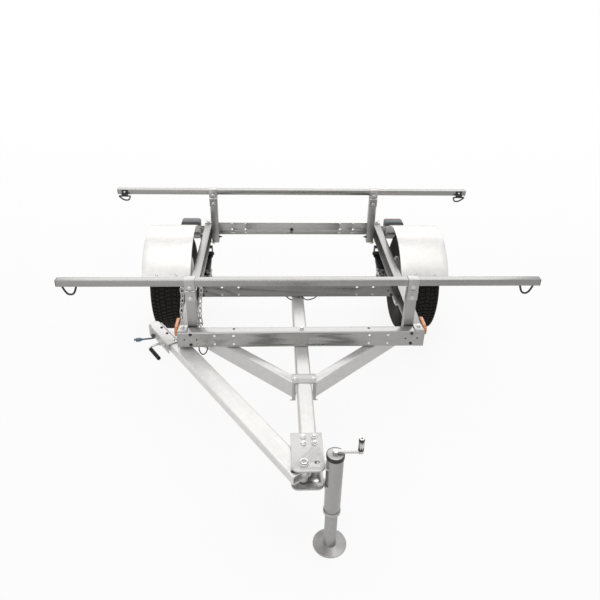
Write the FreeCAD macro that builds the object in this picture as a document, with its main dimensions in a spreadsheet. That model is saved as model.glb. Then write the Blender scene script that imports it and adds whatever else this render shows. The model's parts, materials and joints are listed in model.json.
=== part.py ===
import FreeCAD, Part, Sketcher
import math
import os
import re

os.makedirs("parts", exist_ok=True)
doc = FreeCAD.newDocument("boat_trailer")
vector = FreeCAD.Vector

# Every driving size is a plain number in millimetres or degrees. X is the trailer's right, -Y its front,
# Z up from the ground. y is measured from the front load bar's front face; origin_y then centres the trailer.
sizes = [
    # load bars and what hangs on them
    ("bar_length", 1981), ("bar_depth", 32), ("bar_high", 28), ("bar_top", 680), ("bar_wall", 3),
    ("bar_gap", 1077), ("cap_lip", 2), ("cap_plug", 12), ("plug_gap", 0.5),
    ("loop_inset", 40), ("tab_half", 17), ("tab_high", 26), ("tab_thick", 3), ("curl_out", 6.8),
    ("curl_bore", 3.9), ("loop_wire", 3.5), ("loop_half", 25), ("loop_drop", 48),
    # frame of folded channel
    ("frame_front", -48), ("frame_rear", 1172), ("frame_half", 520), ("frame_top", 460),
    ("web_high", 75), ("flange", 41), ("sheet", 3), ("bend", 6), ("middle_y", 370), ("fit_gap", 0.2),
    ("cope_gap", 1), ("hole_inner", 286), ("hole_outer", 365), ("hole_radius", 5.5), ("hole_low", 402),
    ("hole_high", 442), ("corner_long", 52), ("corner_inset", 4), ("plate_thick", 3),
    ("lead_hole", 6), ("lead_hole_y", 1122), ("lead_hole_z", 402),
    # fixed tongue section, its braces and the cap over them
    ("tongue_half", 28.5), ("tongue_high", 76), ("tongue_front_end", -640), ("tongue_rear_end", 415),
    ("tongue_round", 9), ("tongue_wall", 4), ("brace_angle", 42.35), ("brace_start_x", 47),
    ("brace_start_y", -288), ("brace_rear", 75), ("brace_flange", 36), ("cap_front", -293),
    ("cap_rear", -238), ("cap_half", 47), ("arch_gap", 4.5), ("cap_foot", 7), ("cap_foot_long", 20),
    ("cap_low", 302),
    # posts and their brackets
    ("post_in", 438), ("post_wide", 40.9), ("post_depth", 40), ("post_top", 626),
    ("bracket_half", 22), ("bracket_low", 585), ("bracket_ledge", 9), ("bracket_rear", 51),
    ("riser_half", 16), ("riser_inset", 2), ("bracket_hole", 4.5), ("bracket_hole_drop", 30),
    ("strap_low", 634.2), ("strap_thick", 3),
    # wheels, axle and springs
    ("wheel_x", 655), ("wheel_y", 772), ("wheel_sides", 48), ("tyre_radius", 260), ("tyre_wide", 199),
    ("bead_radius", 133), ("bead_half", 74), ("belly_radius", 196), ("shoulder_radius", 241), ("shoulder_half", 92),
    ("tread_half", 79), ("tread_drop", 3), ("rim_half", 75), ("rim_sheet", 3), ("dish_x", 38),
    ("hub_face", 22), ("pilot_radius", 35), ("hub_flange", 58), ("hub_flange_thick", 11),
    ("hub_barrel", 33), ("hub_back", -45), ("hub_cap", 62), ("hub_cap_radius", 26), ("spindle_radius", 14),
    ("spindle_end", 40), ("axle_side", 38), ("axle_half", 545), ("spring_x", 493),
    ("spring_wide", 45), ("spring_reach", 185), ("spring_rise", 30), ("leaf", 7), ("leaf_long", 150),
    ("leaf_short", 105), ("eye_radius", 13), ("eye_bore", 6.2), ("hanger_pin", 6), ("hanger_half", 18),
    ("hanger_sheet", 4), ("hanger_gap", 1), ("seat_half", 34), ("seat_thick", 4),
    ("clamp_thick", 6), ("bolt_side", 9), ("bolt_top", 12),
    # fenders
    ("fender_radius", 310), ("fender_in", 531), ("fender_out", 775), ("fender_sheet", 1.6),
    ("fender_low", 402), ("lip", 9), ("stay_thick", 4), ("stay_wide", 38), ("stay_inset", 8),
    ("stay_low", 12),
    # lamps and markers
    ("lamp_in", 26), ("lamp_wide", 110), ("lamp_front", 1100), ("lamp_long", 59), ("lamp_low", 372),
    ("lamp_high", 104), ("lamp_round", 14), ("lens_thick", 12), ("lens_inset", 3), ("lamp_tab", 37),
    ("bracket_drop", 6), ("marker_front", -34), ("marker_long", 104), ("marker_low", 425.5),
    ("marker_high", 44), ("marker_thick", 12),
    # hinge and the folding tongue section
    ("pin_x", -21.4), ("pin_y", -710), ("pin_radius", 8), ("pin_play", 0.05), ("pin_head", 13),
    ("pin_head_high", 8), ("hinge_rear", -572), ("hinge_front", -748), ("hinge_left", -62),
    ("hinge_right", 46), ("hinge_thick", 6), ("hinge_round", 22), ("fold_angle", 146.13),
    ("front_half", 37.5), ("front_high", 38), ("front_top", 377), ("front_back", 20),
    ("front_long", 973), ("front_wall", 3.5), ("front_round", 7), ("sleeve_radius", 14),
    ("sleeve_gap", 5), ("lock_bore", 8.1),
    # coupler: shift is how far its middle lies outward of the section's middle
    ("coupler_shift", 22), ("coupler_half", 25), ("coupler_tail", 95), ("coupler_nose", 90),
    ("coupler_sheet", 4), ("coupler_side_low", 334), ("side_end", 73), ("ridge_high", 5),
    ("nose_radius", 29.2), ("nose_chamfer", 8), ("nose_low", 325), ("ball_radius", 25.7),
    ("ball_deep", 35), ("ear_wide", 18), ("ear_low", 321), ("coupler_seat", 0.3), ("notch_long", 2),
    ("knob_radius", 9), ("knob_long", 10), ("knob_s", 57), ("knob_z", 345),
    ("lead_radius", 3.5), ("plug_long", 40), ("plug_half", 11), ("plug_thick", 12), ("plug_turn", -24.06),
    # lift handle
    ("handle_s", 7), ("handle_z", 328), ("handle_rod", 5), ("handle_hole", 5.3), ("handle_start", 10),
    ("handle_out", 93), ("handle_bend", 15), ("grip_radius", 8.5), ("grip_bore", 5.1), ("grip_near", 15),
    ("grip_long", 89),
    # jack
    ("jack_x", 78), ("jack_y", -722), ("jack_radius", 28), ("jack_low", 170), ("jack_top", 440),
    ("jack_cap", 5), ("jack_leg_radius", 22), ("jack_play", 0.1), ("jack_leg_top", 290),
    ("foot_radius", 60), ("foot_thick", 6), ("crank_reach", 80), ("crank_side", 10),
    ("crank_knob", 9), ("crank_knob_high", 52), ("crank_rise", 14), ("clamp_half", 20),
    # safety chain
    ("chain_wire", 2.3), ("chain_pitch", 24.4), ("chain_wide", 13.4), ("chain_slack", 1.2),
    ("chain_y", 47.5), ("chain_rise", 7.5), ("chain_hanging", 7),
    ("hook_pitch", 26), ("hook_wide", 20), ("hook_wire", 2.6), ("hook_bend", 8),
]
derived = [
    ("origin_y", "(frame_rear + jack_y - foot_radius) / 2"),
    ("frame_low", "frame_top - web_high"),
    ("tongue_low", "frame_low - tongue_high"),
    ("bar_low", "bar_top - bar_high"),
    ("post_out", "post_in + post_wide"),
    ("post_mid", "post_in + post_wide / 2"),
    ("wheel_z", "tyre_radius"),
    ("seat_top", "wheel_z + axle_side / 2 + seat_thick"),
    ("arc_radius", "(spring_reach * spring_reach + spring_rise * spring_rise) / (2 * spring_rise)"),
    ("arc_z", "seat_top + arc_radius"),
    ("main_radius", "arc_radius - 2.5 * leaf"),
    ("eye_z", "arc_z - sqrt(main_radius * main_radius - spring_reach * spring_reach) + eye_radius - leaf / 2"),
    ("fender_half_angle", "acos((fender_low - wheel_z) / fender_radius) / 1 deg"),
    ("lamp_x", "frame_half + lamp_in"),
    ("loop_x", "bar_length / 2 - loop_inset"),
    ("axis_x", "-pin_x"),
    ("coupler_x", "axis_x + coupler_shift"),
]
sheet = doc.addObject("Spreadsheet::Sheet", "Dims")
cells = sizes + [(alias, "=" + formula) for alias, formula in derived]
for row, (alias, content) in enumerate(cells, 1):
    sheet.set("A%d" % row, alias)
    sheet.set("B%d" % row, str(content))
    sheet.setAlias("B%d" % row, alias)
doc.recompute()
aliases = {alias for alias, content in cells}


def bound(text):
    return re.sub(r"[a-z_]+", lambda word: "Dims." + word[0] if word[0] in aliases else word[0], str(text))


def read(text):
    return float(sheet.evalExpression(bound(text)))


def near(number, text):
    return abs(number - read(text)) < 0.01


def place(item, x="0", y="0", z="0"):
    for axis, text in zip("xyz", (x, y, z)):
        item.setExpression("Placement.Base." + axis, bound(text))
    return item


def turn(item, axis, angle):
    item.Placement.Rotation = FreeCAD.Rotation(vector(*axis), 1)
    item.setExpression("Placement.Rotation.Angle", bound(angle))
    return item


# Outlines are drawn across one axis: (y, z) across x, (x, z) across y and (x, y) across z.
planes = {"x": "YZ_Plane", "y": "XZ_Plane", "z": "XY_Plane"}


def origin_plane(body, along):
    return next(item for item in body.Origin.OriginFeatures if item.Role == planes[along])


def outline(body, along, loops, level="0"):
    # Closed loops at a level of the axis: corners as a list, or a circle as (centre, centre, radius).
    made = body.newObject("Sketcher::SketchObject", "Outline")
    made.AttachmentSupport = [(origin_plane(body, along), "")]
    made.MapMode = "FlatFace"
    made.setExpression("AttachmentOffset.Base.z", bound("-(%s)" % level if along == "y" else level))
    ties = []
    for loop in loops:
        first = made.GeometryCount
        if isinstance(loop, tuple):
            a, b, radius = loop
            made.addGeometry(Part.Circle(vector(read(a), read(b), 0), vector(0, 0, 1), read(radius)))
            ties.append((("Radius", first), radius))
            corners = [(first, 3, a, b)]
        else:
            spots = [vector(read(a), read(b), 0) for a, b in loop]
            made.addGeometry([Part.LineSegment(p, q) for p, q in zip(spots, spots[1:] + spots[:1])])
            for side in range(len(loop)):
                following = first + (side + 1) % len(loop)
                made.addConstraint(Sketcher.Constraint("Coincident", first + side, 2, following, 1))
            corners = [(first + side, 1, a, b) for side, (a, b) in enumerate(loop)]
        for line, end, a, b in corners:
            ties.append((("DistanceX", -1, 1, line, end), a))
            ties.append((("DistanceY", -1, 1, line, end), b))
    for rule, text in ties:
        number = made.addConstraint(Sketcher.Constraint(*rule, read(text)))
        made.setExpression("Constraints[%d]" % number, bound(text))
    return made


def new_body(name):
    return doc.addObject("PartDesign::Body", name)


def pad(body, along, loops, low, high):
    made = body.newObject("PartDesign::Pad", "Pad")
    made.Profile = outline(body, along, loops, high if along == "y" else low)
    made.setExpression("Length", bound("(%s) - (%s)" % (high, low)))
    return body


def pocket(body, along, loops, low, high):
    made = body.newObject("PartDesign::Pocket", "Pocket")
    made.Profile = outline(body, along, loops, low if along == "y" else high)
    made.setExpression("Length", bound("(%s) - (%s)" % (high, low)))
    return body


def mirror_last(body, along="x"):
    last = body.Tip
    doc.recompute()
    made = body.newObject("PartDesign::Mirrored", "Mirror")
    made.Originals = [last]
    made.MirrorPlane = (origin_plane(body, along), [""])
    body.Tip = made
    return body


def revolved(name, loop, angle="360", about="H_Axis"):
    # A profile turned about X, as (x, radius), or about the vertical, as (radius, z).
    body = new_body(name)
    made = body.newObject("PartDesign::Revolution", "Turn")
    made.Profile = outline(body, "y", [loop])
    made.ReferenceAxis = (made.Profile[0], [about])
    made.setExpression("Angle", bound(angle))
    made.Midplane = True
    return body


def rounded(body, radius, direction, chosen=lambda middle: True):
    # Rounds the straight edges that run in a direction and whose middles are chosen.
    doc.recompute()
    base = body.Tip
    names = []
    for number, edge in enumerate(base.Shape.Edges, 1):
        straight = edge.Curve.TypeId == "Part::GeomLine"
        if straight and abs(edge.Curve.Direction.dot(vector(*direction))) > 0.999 and chosen(edge.CenterOfMass):
            names.append("Edge%d" % number)
    made = body.newObject("PartDesign::Fillet", "Bend")
    made.Base = (base, names)
    made.setExpression("Radius", bound(radius))
    return body


def chamfered(body, size, chosen):
    doc.recompute()
    base = body.Tip
    names = ["Edge%d" % number for number, edge in enumerate(base.Shape.Edges, 1) if chosen(edge.CenterOfMass)]
    made = body.newObject("PartDesign::Chamfer", "Chamfer")
    made.Base = (base, names)
    made.setExpression("Size", bound(size))
    return body


def shelled(body, wall, opened):
    # Hollows a body out to a wall, leaving the opened faces away.
    doc.recompute()
    base = body.Tip
    names = ["Face%d" % number for number, face in enumerate(base.Shape.Faces, 1) if opened(face.CenterOfMass)]
    made = body.newObject("PartDesign::Thickness", "Wall")
    made.Base = (base, names)
    made.Reversed = True
    made.setExpression("Value", bound(wall))
    return body


def rectangle(a0, a1, b0, b1):
    return [(a0, b0), (a1, b0), (a1, b1), (a0, b1)]


def polygon(a, b, flat, sides):
    # A regular outline whose flats touch the circle of that radius, the first flat facing down.
    step = 360 / sides
    corner = "(%s) / cos(%g)" % (flat, step / 2)
    return [("%s + %s * sin(%g)" % (a, corner, step * (side + 0.5)),
             "%s - %s * cos(%g)" % (b, corner, step * (side + 0.5))) for side in range(sides)]


directions = {"x": (1, 0, 0), "y": (0, 1, 0), "z": (0, 0, 1)}


def channel(name, along, web_axis, web, edge, low, high, start, end, bend="bend"):
    # A folded channel: its web lies at one level of web_axis and its two flanges reach to the edge.
    body = new_body(name)
    across = [axis for axis in "xyz" if axis != along]
    loop = rectangle(web, edge, low, high) if across[0] == web_axis else rectangle(low, high, web, edge)
    pad(body, along, [loop], start, end)
    if bend:
        rounded(body, bend, directions[along], lambda middle: near(getattr(middle, web_axis), web))
    return shelled(body, "sheet", lambda middle: near(getattr(middle, web_axis), edge)
                   or near(getattr(middle, along), start) or near(getattr(middle, along), end))


def tube(name, along, a0, a1, b0, b1, start, end, wall, radius, capped=None):
    body = new_body(name)
    pad(body, along, [rectangle(a0, a1, b0, b1)], start, end)
    if radius:
        rounded(body, radius, directions[along])
    ends = [level for level in (start, end) if level != capped]
    return shelled(body, wall, lambda middle: any(near(getattr(middle, along), level) for level in ends))


def join(items):
    item = doc.addObject("Part::MultiFuse", "Join")
    item.Shapes = items
    item.Refine = True
    return item


def cut(base, tool):
    item = doc.addObject("Part::Cut", "Cut")
    item.Base = base
    item.Tool = tool
    return item


def group(items):
    item = doc.addObject("Part::Compound", "Group")
    item.Links = items
    return item


def mirrored(base):
    item = doc.addObject("Part::Mirroring", "Mirror")
    item.Source = base
    item.Normal = vector(1, 0, 0)
    return item


def both(item):
    return [item, mirrored(item)]


def at_each_bar(item):
    # The same piece at both ends of the front bar and of the rear bar.
    return both(item) + both(place(group([item]), y="bar_gap"))


nodes = {}


def node(name, items, x="0", y="-origin_y", angle=None):
    item = group(items)
    if angle:
        turn(item, (0, 0, 1), angle)
    place(item, x, y)
    item.Label = name
    nodes[name] = item


def front_tongue_node(name, items):
    # Drawn with the hinge pin at the origin and the nose along -Y; the placement folds it back.
    node(name, items, x="pin_x", y="pin_y - origin_y", angle="-fold_angle")


# Frame: two side rails, three crossmembers between them and a gusset over each corner.
def crossmember(web, edge, web_back, low, high, half, coped):
    body = channel("Crossmember", "x", "y", web, edge, low, high, "-(%s)" % half, half)
    if coped:
        pocket(body, "z", [rectangle("frame_half - flange - cope_gap", "frame_half", web_back, edge)],
               low + " - sheet", high + " + sheet")
        mirror_last(body)
    holes = [(x, z, "hole_radius") for x in ("hole_inner", "hole_outer") for z in ("hole_low", "hole_high")]
    front, back = (web, web_back) if read(web) < read(web_back) else (web_back, web)
    pocket(body, "y", holes, front + " - sheet", back + " + sheet")
    return mirror_last(body)


end_half = "frame_half - sheet - fit_gap"
node("crossmember_front", [crossmember("frame_front", "frame_front + flange", "frame_front + sheet",
                                       "frame_low", "frame_top", end_half, True)])
node("crossmember_middle", [crossmember("middle_y", "middle_y + flange", "middle_y + sheet",
                                        "frame_low + sheet + fit_gap", "frame_top - sheet - fit_gap",
                                        "frame_half - bend - fit_gap", False)])
node("crossmember_rear", [crossmember("frame_rear", "frame_rear - flange", "frame_rear - sheet",
                                      "frame_low", "frame_top", end_half, True)])

rail = channel("Rail", "y", "x", "frame_half", "frame_half - flange", "frame_low", "frame_top",
               "frame_front", "frame_rear")
for end in (("frame_front - sheet", "frame_front + sheet"), ("frame_rear - sheet", "frame_rear + sheet")):
    pocket(rail, "z", [rectangle("frame_half - flange - sheet", "frame_half - sheet", *end)],
           "frame_low - sheet", "frame_top + sheet")
pocket(rail, "x", [polygon("lead_hole_y", "lead_hole_z", "lead_hole", 8)], "frame_half - bend",
       "frame_half + sheet")
node("side_rails", both(rail))


def corner(name, start):
    body = new_body(name)
    edges = rectangle("frame_half - flange + fit_gap", "frame_half - cope_gap", start, start + " + corner_long")
    return pad(body, "z", [edges], "frame_top", "frame_top + plate_thick")


node("corner_plates", both(corner("GussetFront", "frame_front + corner_inset"))
     + both(corner("GussetRear", "frame_rear - corner_inset - corner_long")))

# Tongue: a square-cornered tube below the frame, braced by two channels cut off along it.
node("tongue_fixed", [tube("Tongue", "y", "-tongue_half", "tongue_half", "tongue_low", "frame_low",
                           "tongue_front_end", "tongue_rear_end", "tongue_wall", "tongue_round")])

beside = "(tongue_half + cope_gap)"
edge_x = "(brace_start_x - brace_flange * sin(brace_angle))"
edge_y = "(brace_start_y + brace_flange * cos(brace_angle))"
web_run = "(brace_rear - brace_start_y) / tan(brace_angle)"
edge_run = "(brace_rear - %s) / tan(brace_angle)" % edge_y
brace = new_body("Brace")
pad(brace, "z", [[
    ("brace_start_x", "brace_start_y"),
    ("brace_start_x + " + web_run, "brace_rear"),
    (edge_x + " + " + edge_run, "brace_rear"),
    (beside, "%s + (%s - %s) * tan(brace_angle)" % (edge_y, beside, edge_x)),
    (beside, "brace_start_y + (brace_start_x - %s) / tan(brace_angle)" % beside),
]], "tongue_low", "frame_low - fit_gap")
brace_angle = math.radians(read("brace_angle"))
along_brace = (math.cos(brace_angle), math.sin(brace_angle), 0)
from_web = vector(-along_brace[1], along_brace[0], 0)
brace_start = vector(read("brace_start_x"), read("brace_start_y"), 0)


def behind_web(middle):
    return (middle - brace_start).dot(from_web)


rounded(brace, "bend", along_brace, lambda middle: abs(behind_web(middle)) < 0.01)
doc.recompute()
level_faces = (read("tongue_low"), read("frame_low - fit_gap"))
shelled(brace, "sheet", lambda middle: behind_web(middle) > read("bend")
        and min(abs(middle.z - level) for level in level_faces) > read("bend"))
node("tongue_braces", both(brace))

arch = "tongue_half + arch_gap"
saddle = new_body("BraceCap")
pad(saddle, "z", [rectangle("-cap_half", "cap_half", "cap_front", "cap_rear")], "frame_low",
    "frame_low + plate_thick")
pad(saddle, "y", [rectangle("-cap_half", "cap_half", "cap_low", "frame_low")], "cap_front",
    "cap_front + plate_thick")
pad(saddle, "z", [rectangle("-cap_half - cap_foot", "cap_half + cap_foot", "cap_front",
                            "cap_front + plate_thick")], "cap_low - plate_thick", "cap_low")
pocket(saddle, "y", [rectangle("-(%s)" % arch, arch, "cap_low - 2 * plate_thick", "frame_low")],
       "cap_front - plate_thick", "cap_front + 2 * plate_thick")
rounded(saddle, "tongue_round", (0, 1, 0), lambda middle: near(middle.z, "frame_low")
        and near(abs(middle.x), arch))
node("brace_cap", [saddle])

# Posts and the saddles that carry the load bars.
post = channel("Post", "z", "y", "0", "post_depth", "post_in", "post_out", "frame_low", "post_top",
               bend=None)
node("posts", at_each_bar(post))

bracket_in, bracket_out = "post_mid - bracket_half", "post_mid + bracket_half"
bracket = new_body("Bracket")
pad(bracket, "x", [[
    ("-bracket_ledge", "post_top + plate_thick"), ("bracket_rear", "post_top + plate_thick"),
    ("bracket_rear", "post_top"), ("0", "post_top"), ("0", "bracket_low"), ("-plate_thick", "bracket_low"),
    ("-plate_thick", "post_top"), ("-bracket_ledge", "post_top"),
]], bracket_in, bracket_out)
pad(bracket, "y", [[
    ("post_mid - riser_half", "post_top + plate_thick"), ("post_mid - riser_half", "bar_low"),
    ("post_mid + riser_half", "bar_low"), ("post_mid + riser_half", "post_top + plate_thick"),
    ("post_mid + riser_half - plate_thick", "post_top + plate_thick"),
    ("post_mid + riser_half - plate_thick", "bar_low - plate_thick"),
    ("post_mid - riser_half + plate_thick", "bar_low - plate_thick"),
    ("post_mid - riser_half + plate_thick", "post_top + plate_thick"),
]], "riser_inset", "bar_depth - riser_inset")
pocket(bracket, "y", [polygon("post_mid", "post_top - bracket_hole_drop", "bracket_hole", 6)],
       "-2 * plate_thick", "0")
node("post_brackets", at_each_bar(bracket))

strap = new_body("Strap")
pad(strap, "x", [[
    ("-fit_gap - strap_thick", "strap_low"), ("-fit_gap - strap_thick", "bar_top + strap_thick"),
    ("bar_depth + fit_gap + strap_thick", "bar_top + strap_thick"),
    ("bar_depth + fit_gap + strap_thick", "strap_low"), ("bar_depth + fit_gap", "strap_low"),
    ("bar_depth + fit_gap", "bar_top"), ("-fit_gap", "bar_top"), ("-fit_gap", "strap_low"),
]], bracket_in, bracket_out)
node("bar_straps", at_each_bar(strap))

for place_name, bar_y in (("front", "0"), ("rear", "bar_gap")):
    bar = tube("LoadBar", "x", bar_y, bar_y + " + bar_depth", "bar_low", "bar_top",
               "-bar_length / 2 + cap_lip", "bar_length / 2 - cap_lip", "bar_wall", None)
    node("load_bar_" + place_name, [bar])

plug_side = "(bar_wall + plug_gap)"
end_cap = new_body("EndCap")
pad(end_cap, "x", [rectangle("0", "bar_depth", "bar_low", "bar_top")], "bar_length / 2 - cap_lip",
    "bar_length / 2")
pad(end_cap, "x", [rectangle(plug_side, "bar_depth - " + plug_side, "bar_low + " + plug_side,
                             "bar_top - " + plug_side)], "bar_length / 2 - cap_plug", "bar_length / 2")
node("bar_end_caps", at_each_bar(end_cap))


def ring_about(middle, ahead, radius, sides):
    aside = ahead.cross(vector(0, 1, 0) if abs(ahead.y) < 0.9 * ahead.Length else vector(1, 0, 0)).normalize()
    other = ahead.cross(aside).normalize()
    turns = [2 * math.pi * (side + 0.5) / sides for side in range(sides + 1)]
    return Part.makePolygon([middle + aside * (radius * math.cos(angle)) + other * (radius * math.sin(angle))
                             for angle in turns])


def swept(route, radius, sides, closed):
    # A bar of few sides swept along a route of straight runs, mitred at each corner.
    route = [vector(*point) for point in route]
    start = route[0]
    if closed:
        start = (route[0] + route[1]) * 0.5
        route = [start] + route[1:] + [route[0], start]
    item = doc.addObject("Part::Feature", "Swept")
    ring = ring_about(start, route[1] - start, radius, sides)
    item.Shape = Part.makePolygon(route).makePipeShell([ring], True, False, 1)
    return item


def loop_ring(bar_face, way):
    # A D-shaped ring whose straight side turns in the curl at the foot of its tab.
    half, wire = read("loop_half"), read("loop_wire")
    x, z = read("loop_x"), read("bar_low")
    y = read(bar_face) + way * read("curl_out + fit_gap")
    low = z - read("loop_drop")
    points = [(-half, z), (half, z), (half + wire, z - 2 * wire), (half * 0.8, low + half * 0.5),
              (half * 0.4, low), (-half * 0.4, low), (-half * 0.8, low + half * 0.5), (-half - wire, z - 2 * wire)]
    return swept([(x + a, y, b) for a, b in points], wire, 6, True)


def loop_tab(bar_face, way):
    body = new_body("LoopTab")
    inner = "%s + %d * fit_gap" % (bar_face, way)
    outer = "%s + %d * (fit_gap + tab_thick)" % (bar_face, way)
    curl = "%s + %d * (fit_gap + curl_out)" % (bar_face, way)
    loop = rectangle(inner, outer, "bar_low", "bar_low + tab_high")
    pad(body, "x", [loop], "loop_x - tab_half", "loop_x + tab_half")
    pad(body, "x", [polygon(curl, "bar_low", "curl_out", 8)], "loop_x - tab_half", "loop_x + tab_half")
    return pocket(body, "x", [polygon(curl, "bar_low", "curl_bore", 8)], "loop_x - tab_half - curl_bore",
                  "loop_x + tab_half + curl_bore")


bar_faces = (("bar_depth", 1), ("bar_gap", -1))
node("tie_loops", [item for face, way in bar_faces for item in both(loop_ring(face, way))])
node("loop_tabs", [item for face, way in bar_faces for item in both(loop_tab(face, way))])

# Axle, leaf springs and their hangers below the side rails.
axle = new_body("Axle")
pad(axle, "x", [rectangle("wheel_y - axle_side / 2", "wheel_y + axle_side / 2", "wheel_z - axle_side / 2",
                          "wheel_z + axle_side / 2")], "-axle_half", "axle_half")
pad(axle, "x", [("wheel_y", "wheel_z", "spindle_radius")], "-wheel_x - spindle_end", "wheel_x + spindle_end")
node("axle_beam", [axle])

spring_in, spring_out = "spring_x - spring_wide / 2", "spring_x + spring_wide / 2"


def spring_leaf(level, reach):
    outer = "(arc_radius - %d * leaf)" % level
    body = revolved("Leaf", rectangle(spring_in, spring_out, "-" + outer, "leaf - " + outer),
                    "2 * asin(%s / %s)" % (reach, outer))
    return place(body, y="wheel_y", z="arc_z")


eyes = new_body("Eyes")
pad(eyes, "x", [polygon("wheel_y + %s * spring_reach" % way, "eye_z", "eye_radius", 12)
                for way in ("-1", "1")], spring_in, spring_out)
bores = new_body("EyeBores")
pad(bores, "x", [polygon("wheel_y + %s * spring_reach" % way, "eye_z", "eye_bore", 8)
                 for way in ("-1", "1")], spring_in + " - leaf", spring_out + " + leaf")
spring = cut(join([spring_leaf(0, "leaf_short"), spring_leaf(1, "leaf_long"), spring_leaf(2, "spring_reach"),
                   eyes]), bores)
node("leaf_springs", both(spring))

leg_in = "(spring_wide / 2 + hanger_gap)"
leg_out = "(spring_wide / 2 + hanger_gap + hanger_sheet)"


def hanger(way):
    y = "wheel_y + %s * spring_reach" % way
    body = new_body("Hanger")
    foot = "eye_z - hanger_half"
    pad(body, "y", [[
        ("spring_x - " + leg_out, foot), ("spring_x - " + leg_out, "frame_low"),
        ("spring_x + " + leg_out, "frame_low"), ("spring_x + " + leg_out, foot),
        ("spring_x + " + leg_in, foot), ("spring_x + " + leg_in, "frame_low - hanger_sheet"),
        ("spring_x - " + leg_in, "frame_low - hanger_sheet"), ("spring_x - " + leg_in, foot),
    ]], y + " - hanger_half", y + " + hanger_half")
    return pad(body, "x", [polygon(y, "eye_z", "hanger_pin", 8)], "spring_x - hanger_sheet - " + leg_out,
               "spring_x + hanger_sheet + " + leg_out)


node("spring_hangers", both(hanger("1")) + both(hanger("-1")))

# Each axle clamp: a seat below the leaves, a plate above them, and two bolts bent round the axle.
leaves_top = "seat_top + 3 * leaf + seat_thick"
bolt_in = "(spring_wide / 2 + hanger_gap)"
bolt_near = "(axle_side / 2 + fit_gap)"
clamp = new_body("AxleClamp")
pad(clamp, "z", [rectangle("spring_x - seat_half", "spring_x + seat_half", "wheel_y - seat_half",
                           "wheel_y + seat_half")], "seat_top - seat_thick", "seat_top")
pad(clamp, "z", [rectangle("spring_x - seat_half", "spring_x + seat_half", "wheel_y - seat_half",
                           "wheel_y + seat_half")], leaves_top, leaves_top + " + clamp_thick")
axle_under = "wheel_z - " + bolt_near
bolt_ring = [
    ("wheel_y - %s - bolt_side" % bolt_near, leaves_top + " + clamp_thick + bolt_top"),
    ("wheel_y - " + bolt_near, leaves_top + " + clamp_thick + bolt_top"),
    ("wheel_y - " + bolt_near, axle_under), ("wheel_y + " + bolt_near, axle_under),
    ("wheel_y + " + bolt_near, leaves_top + " + clamp_thick + bolt_top"),
    ("wheel_y + %s + bolt_side" % bolt_near, leaves_top + " + clamp_thick + bolt_top"),
    ("wheel_y + %s + bolt_side" % bolt_near, axle_under + " - bolt_side"),
    ("wheel_y - %s - bolt_side" % bolt_near, axle_under + " - bolt_side"),
]
pad(clamp, "x", [bolt_ring], "spring_x - %s - bolt_side" % bolt_in, "spring_x - " + bolt_in)
pad(clamp, "x", [bolt_ring], "spring_x + " + bolt_in, "spring_x + %s + bolt_side" % bolt_in)
node("axle_clamps", both(clamp))

# Fenders: half-round sheets with a lip turned down along both edges, each carried by two stays.
skin_in = "fender_radius - fender_sheet"
fender = revolved("Fender", [
    ("fender_in", "fender_radius"), ("fender_out", "fender_radius"), ("fender_out", "fender_radius - lip"),
    ("fender_out - fender_sheet", "fender_radius - lip"), ("fender_out - fender_sheet", skin_in),
    ("fender_in + fender_sheet", skin_in), ("fender_in + fender_sheet", "fender_radius - lip"),
    ("fender_in", "fender_radius - lip"),
], "2 * fender_half_angle")
node("fenders", both(place(fender, y="wheel_y", z="wheel_z")))

stay_outer = "(%s - fit_gap)" % skin_in
stay_turn = "(fender_half_angle - (stay_inset + stay_wide / 2) / %s * 180 / pi)" % stay_outer


def fender_stay(way):
    # A strap under the fender's end, and a plate that ties it to the rail's outer face.
    body = revolved("Stay", rectangle("fender_in + 2 * fender_sheet", "fender_out - 2 * fender_sheet",
                                      stay_outer + " - stay_thick", stay_outer),
                    "stay_wide / %s * 180 / pi" % stay_outer)
    turn(body, (-1, 0, 0), "%s * %s" % (way, stay_turn))
    place(body, y="wheel_y", z="wheel_z")
    half_turn = "stay_wide / 2 / %s * 180 / pi" % stay_outer

    def plate_outline(level):
        tops = []
        for angle in ("(%s - %s)" % (stay_turn, half_turn), "(%s + %s)" % (stay_turn, half_turn)):
            tops.append(("wheel_y + %s * (%s) * sin(%s)" % (way, level, angle),
                         "wheel_z + (%s) * cos(%s)" % (level, angle)))
        return [tops + [(y, "frame_low + stay_low") for y, z in reversed(tops)]]

    plate = new_body("StayPlate")
    inside = "fender_in + 2 * fender_sheet"
    pad(plate, "x", plate_outline("fender_radius - lip - fit_gap"), "frame_half", inside + " + stay_thick")
    pad(plate, "x", plate_outline(stay_outer + " - stay_thick / 2"), inside, inside + " + stay_thick")
    return join([body, plate])


node("fender_brackets", both(fender_stay("1")) + both(fender_stay("-1")))

# Lamps behind the fenders, and a marker on the outer face of each rail.
lamp_top = "lamp_low + lamp_high"
lens_start = "lamp_front + lamp_long"
lamp = pad(new_body("Lamp"), "y", [rectangle("lamp_x", "lamp_x + lamp_wide", "lamp_low", lamp_top)],
           "lamp_front", lens_start)
node("tail_lamps", both(rounded(lamp, "lamp_round", (0, 1, 0))))
lens = pad(new_body("Lens"), "y", [rectangle("lamp_x + lens_inset", "lamp_x + lamp_wide - lens_inset",
                                             "lamp_low + lens_inset", lamp_top + " - lens_inset")],
           lens_start, lens_start + " + lens_thick")
rounded(lens, "lamp_round - lens_inset", (0, 1, 0))
node("lamp_lenses", both(lens))
lamp_plate = pad(new_body("LampPlate"), "y", [[
    ("frame_half", "frame_low + stay_low"), ("frame_half", "frame_top - bracket_drop"),
    ("lamp_x + lamp_tab", "frame_top - bracket_drop"), ("lamp_x + lamp_tab", "frame_top - lamp_tab"),
]], "lamp_front - plate_thick", "lamp_front")
node("lamp_brackets", both(lamp_plate))
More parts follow.
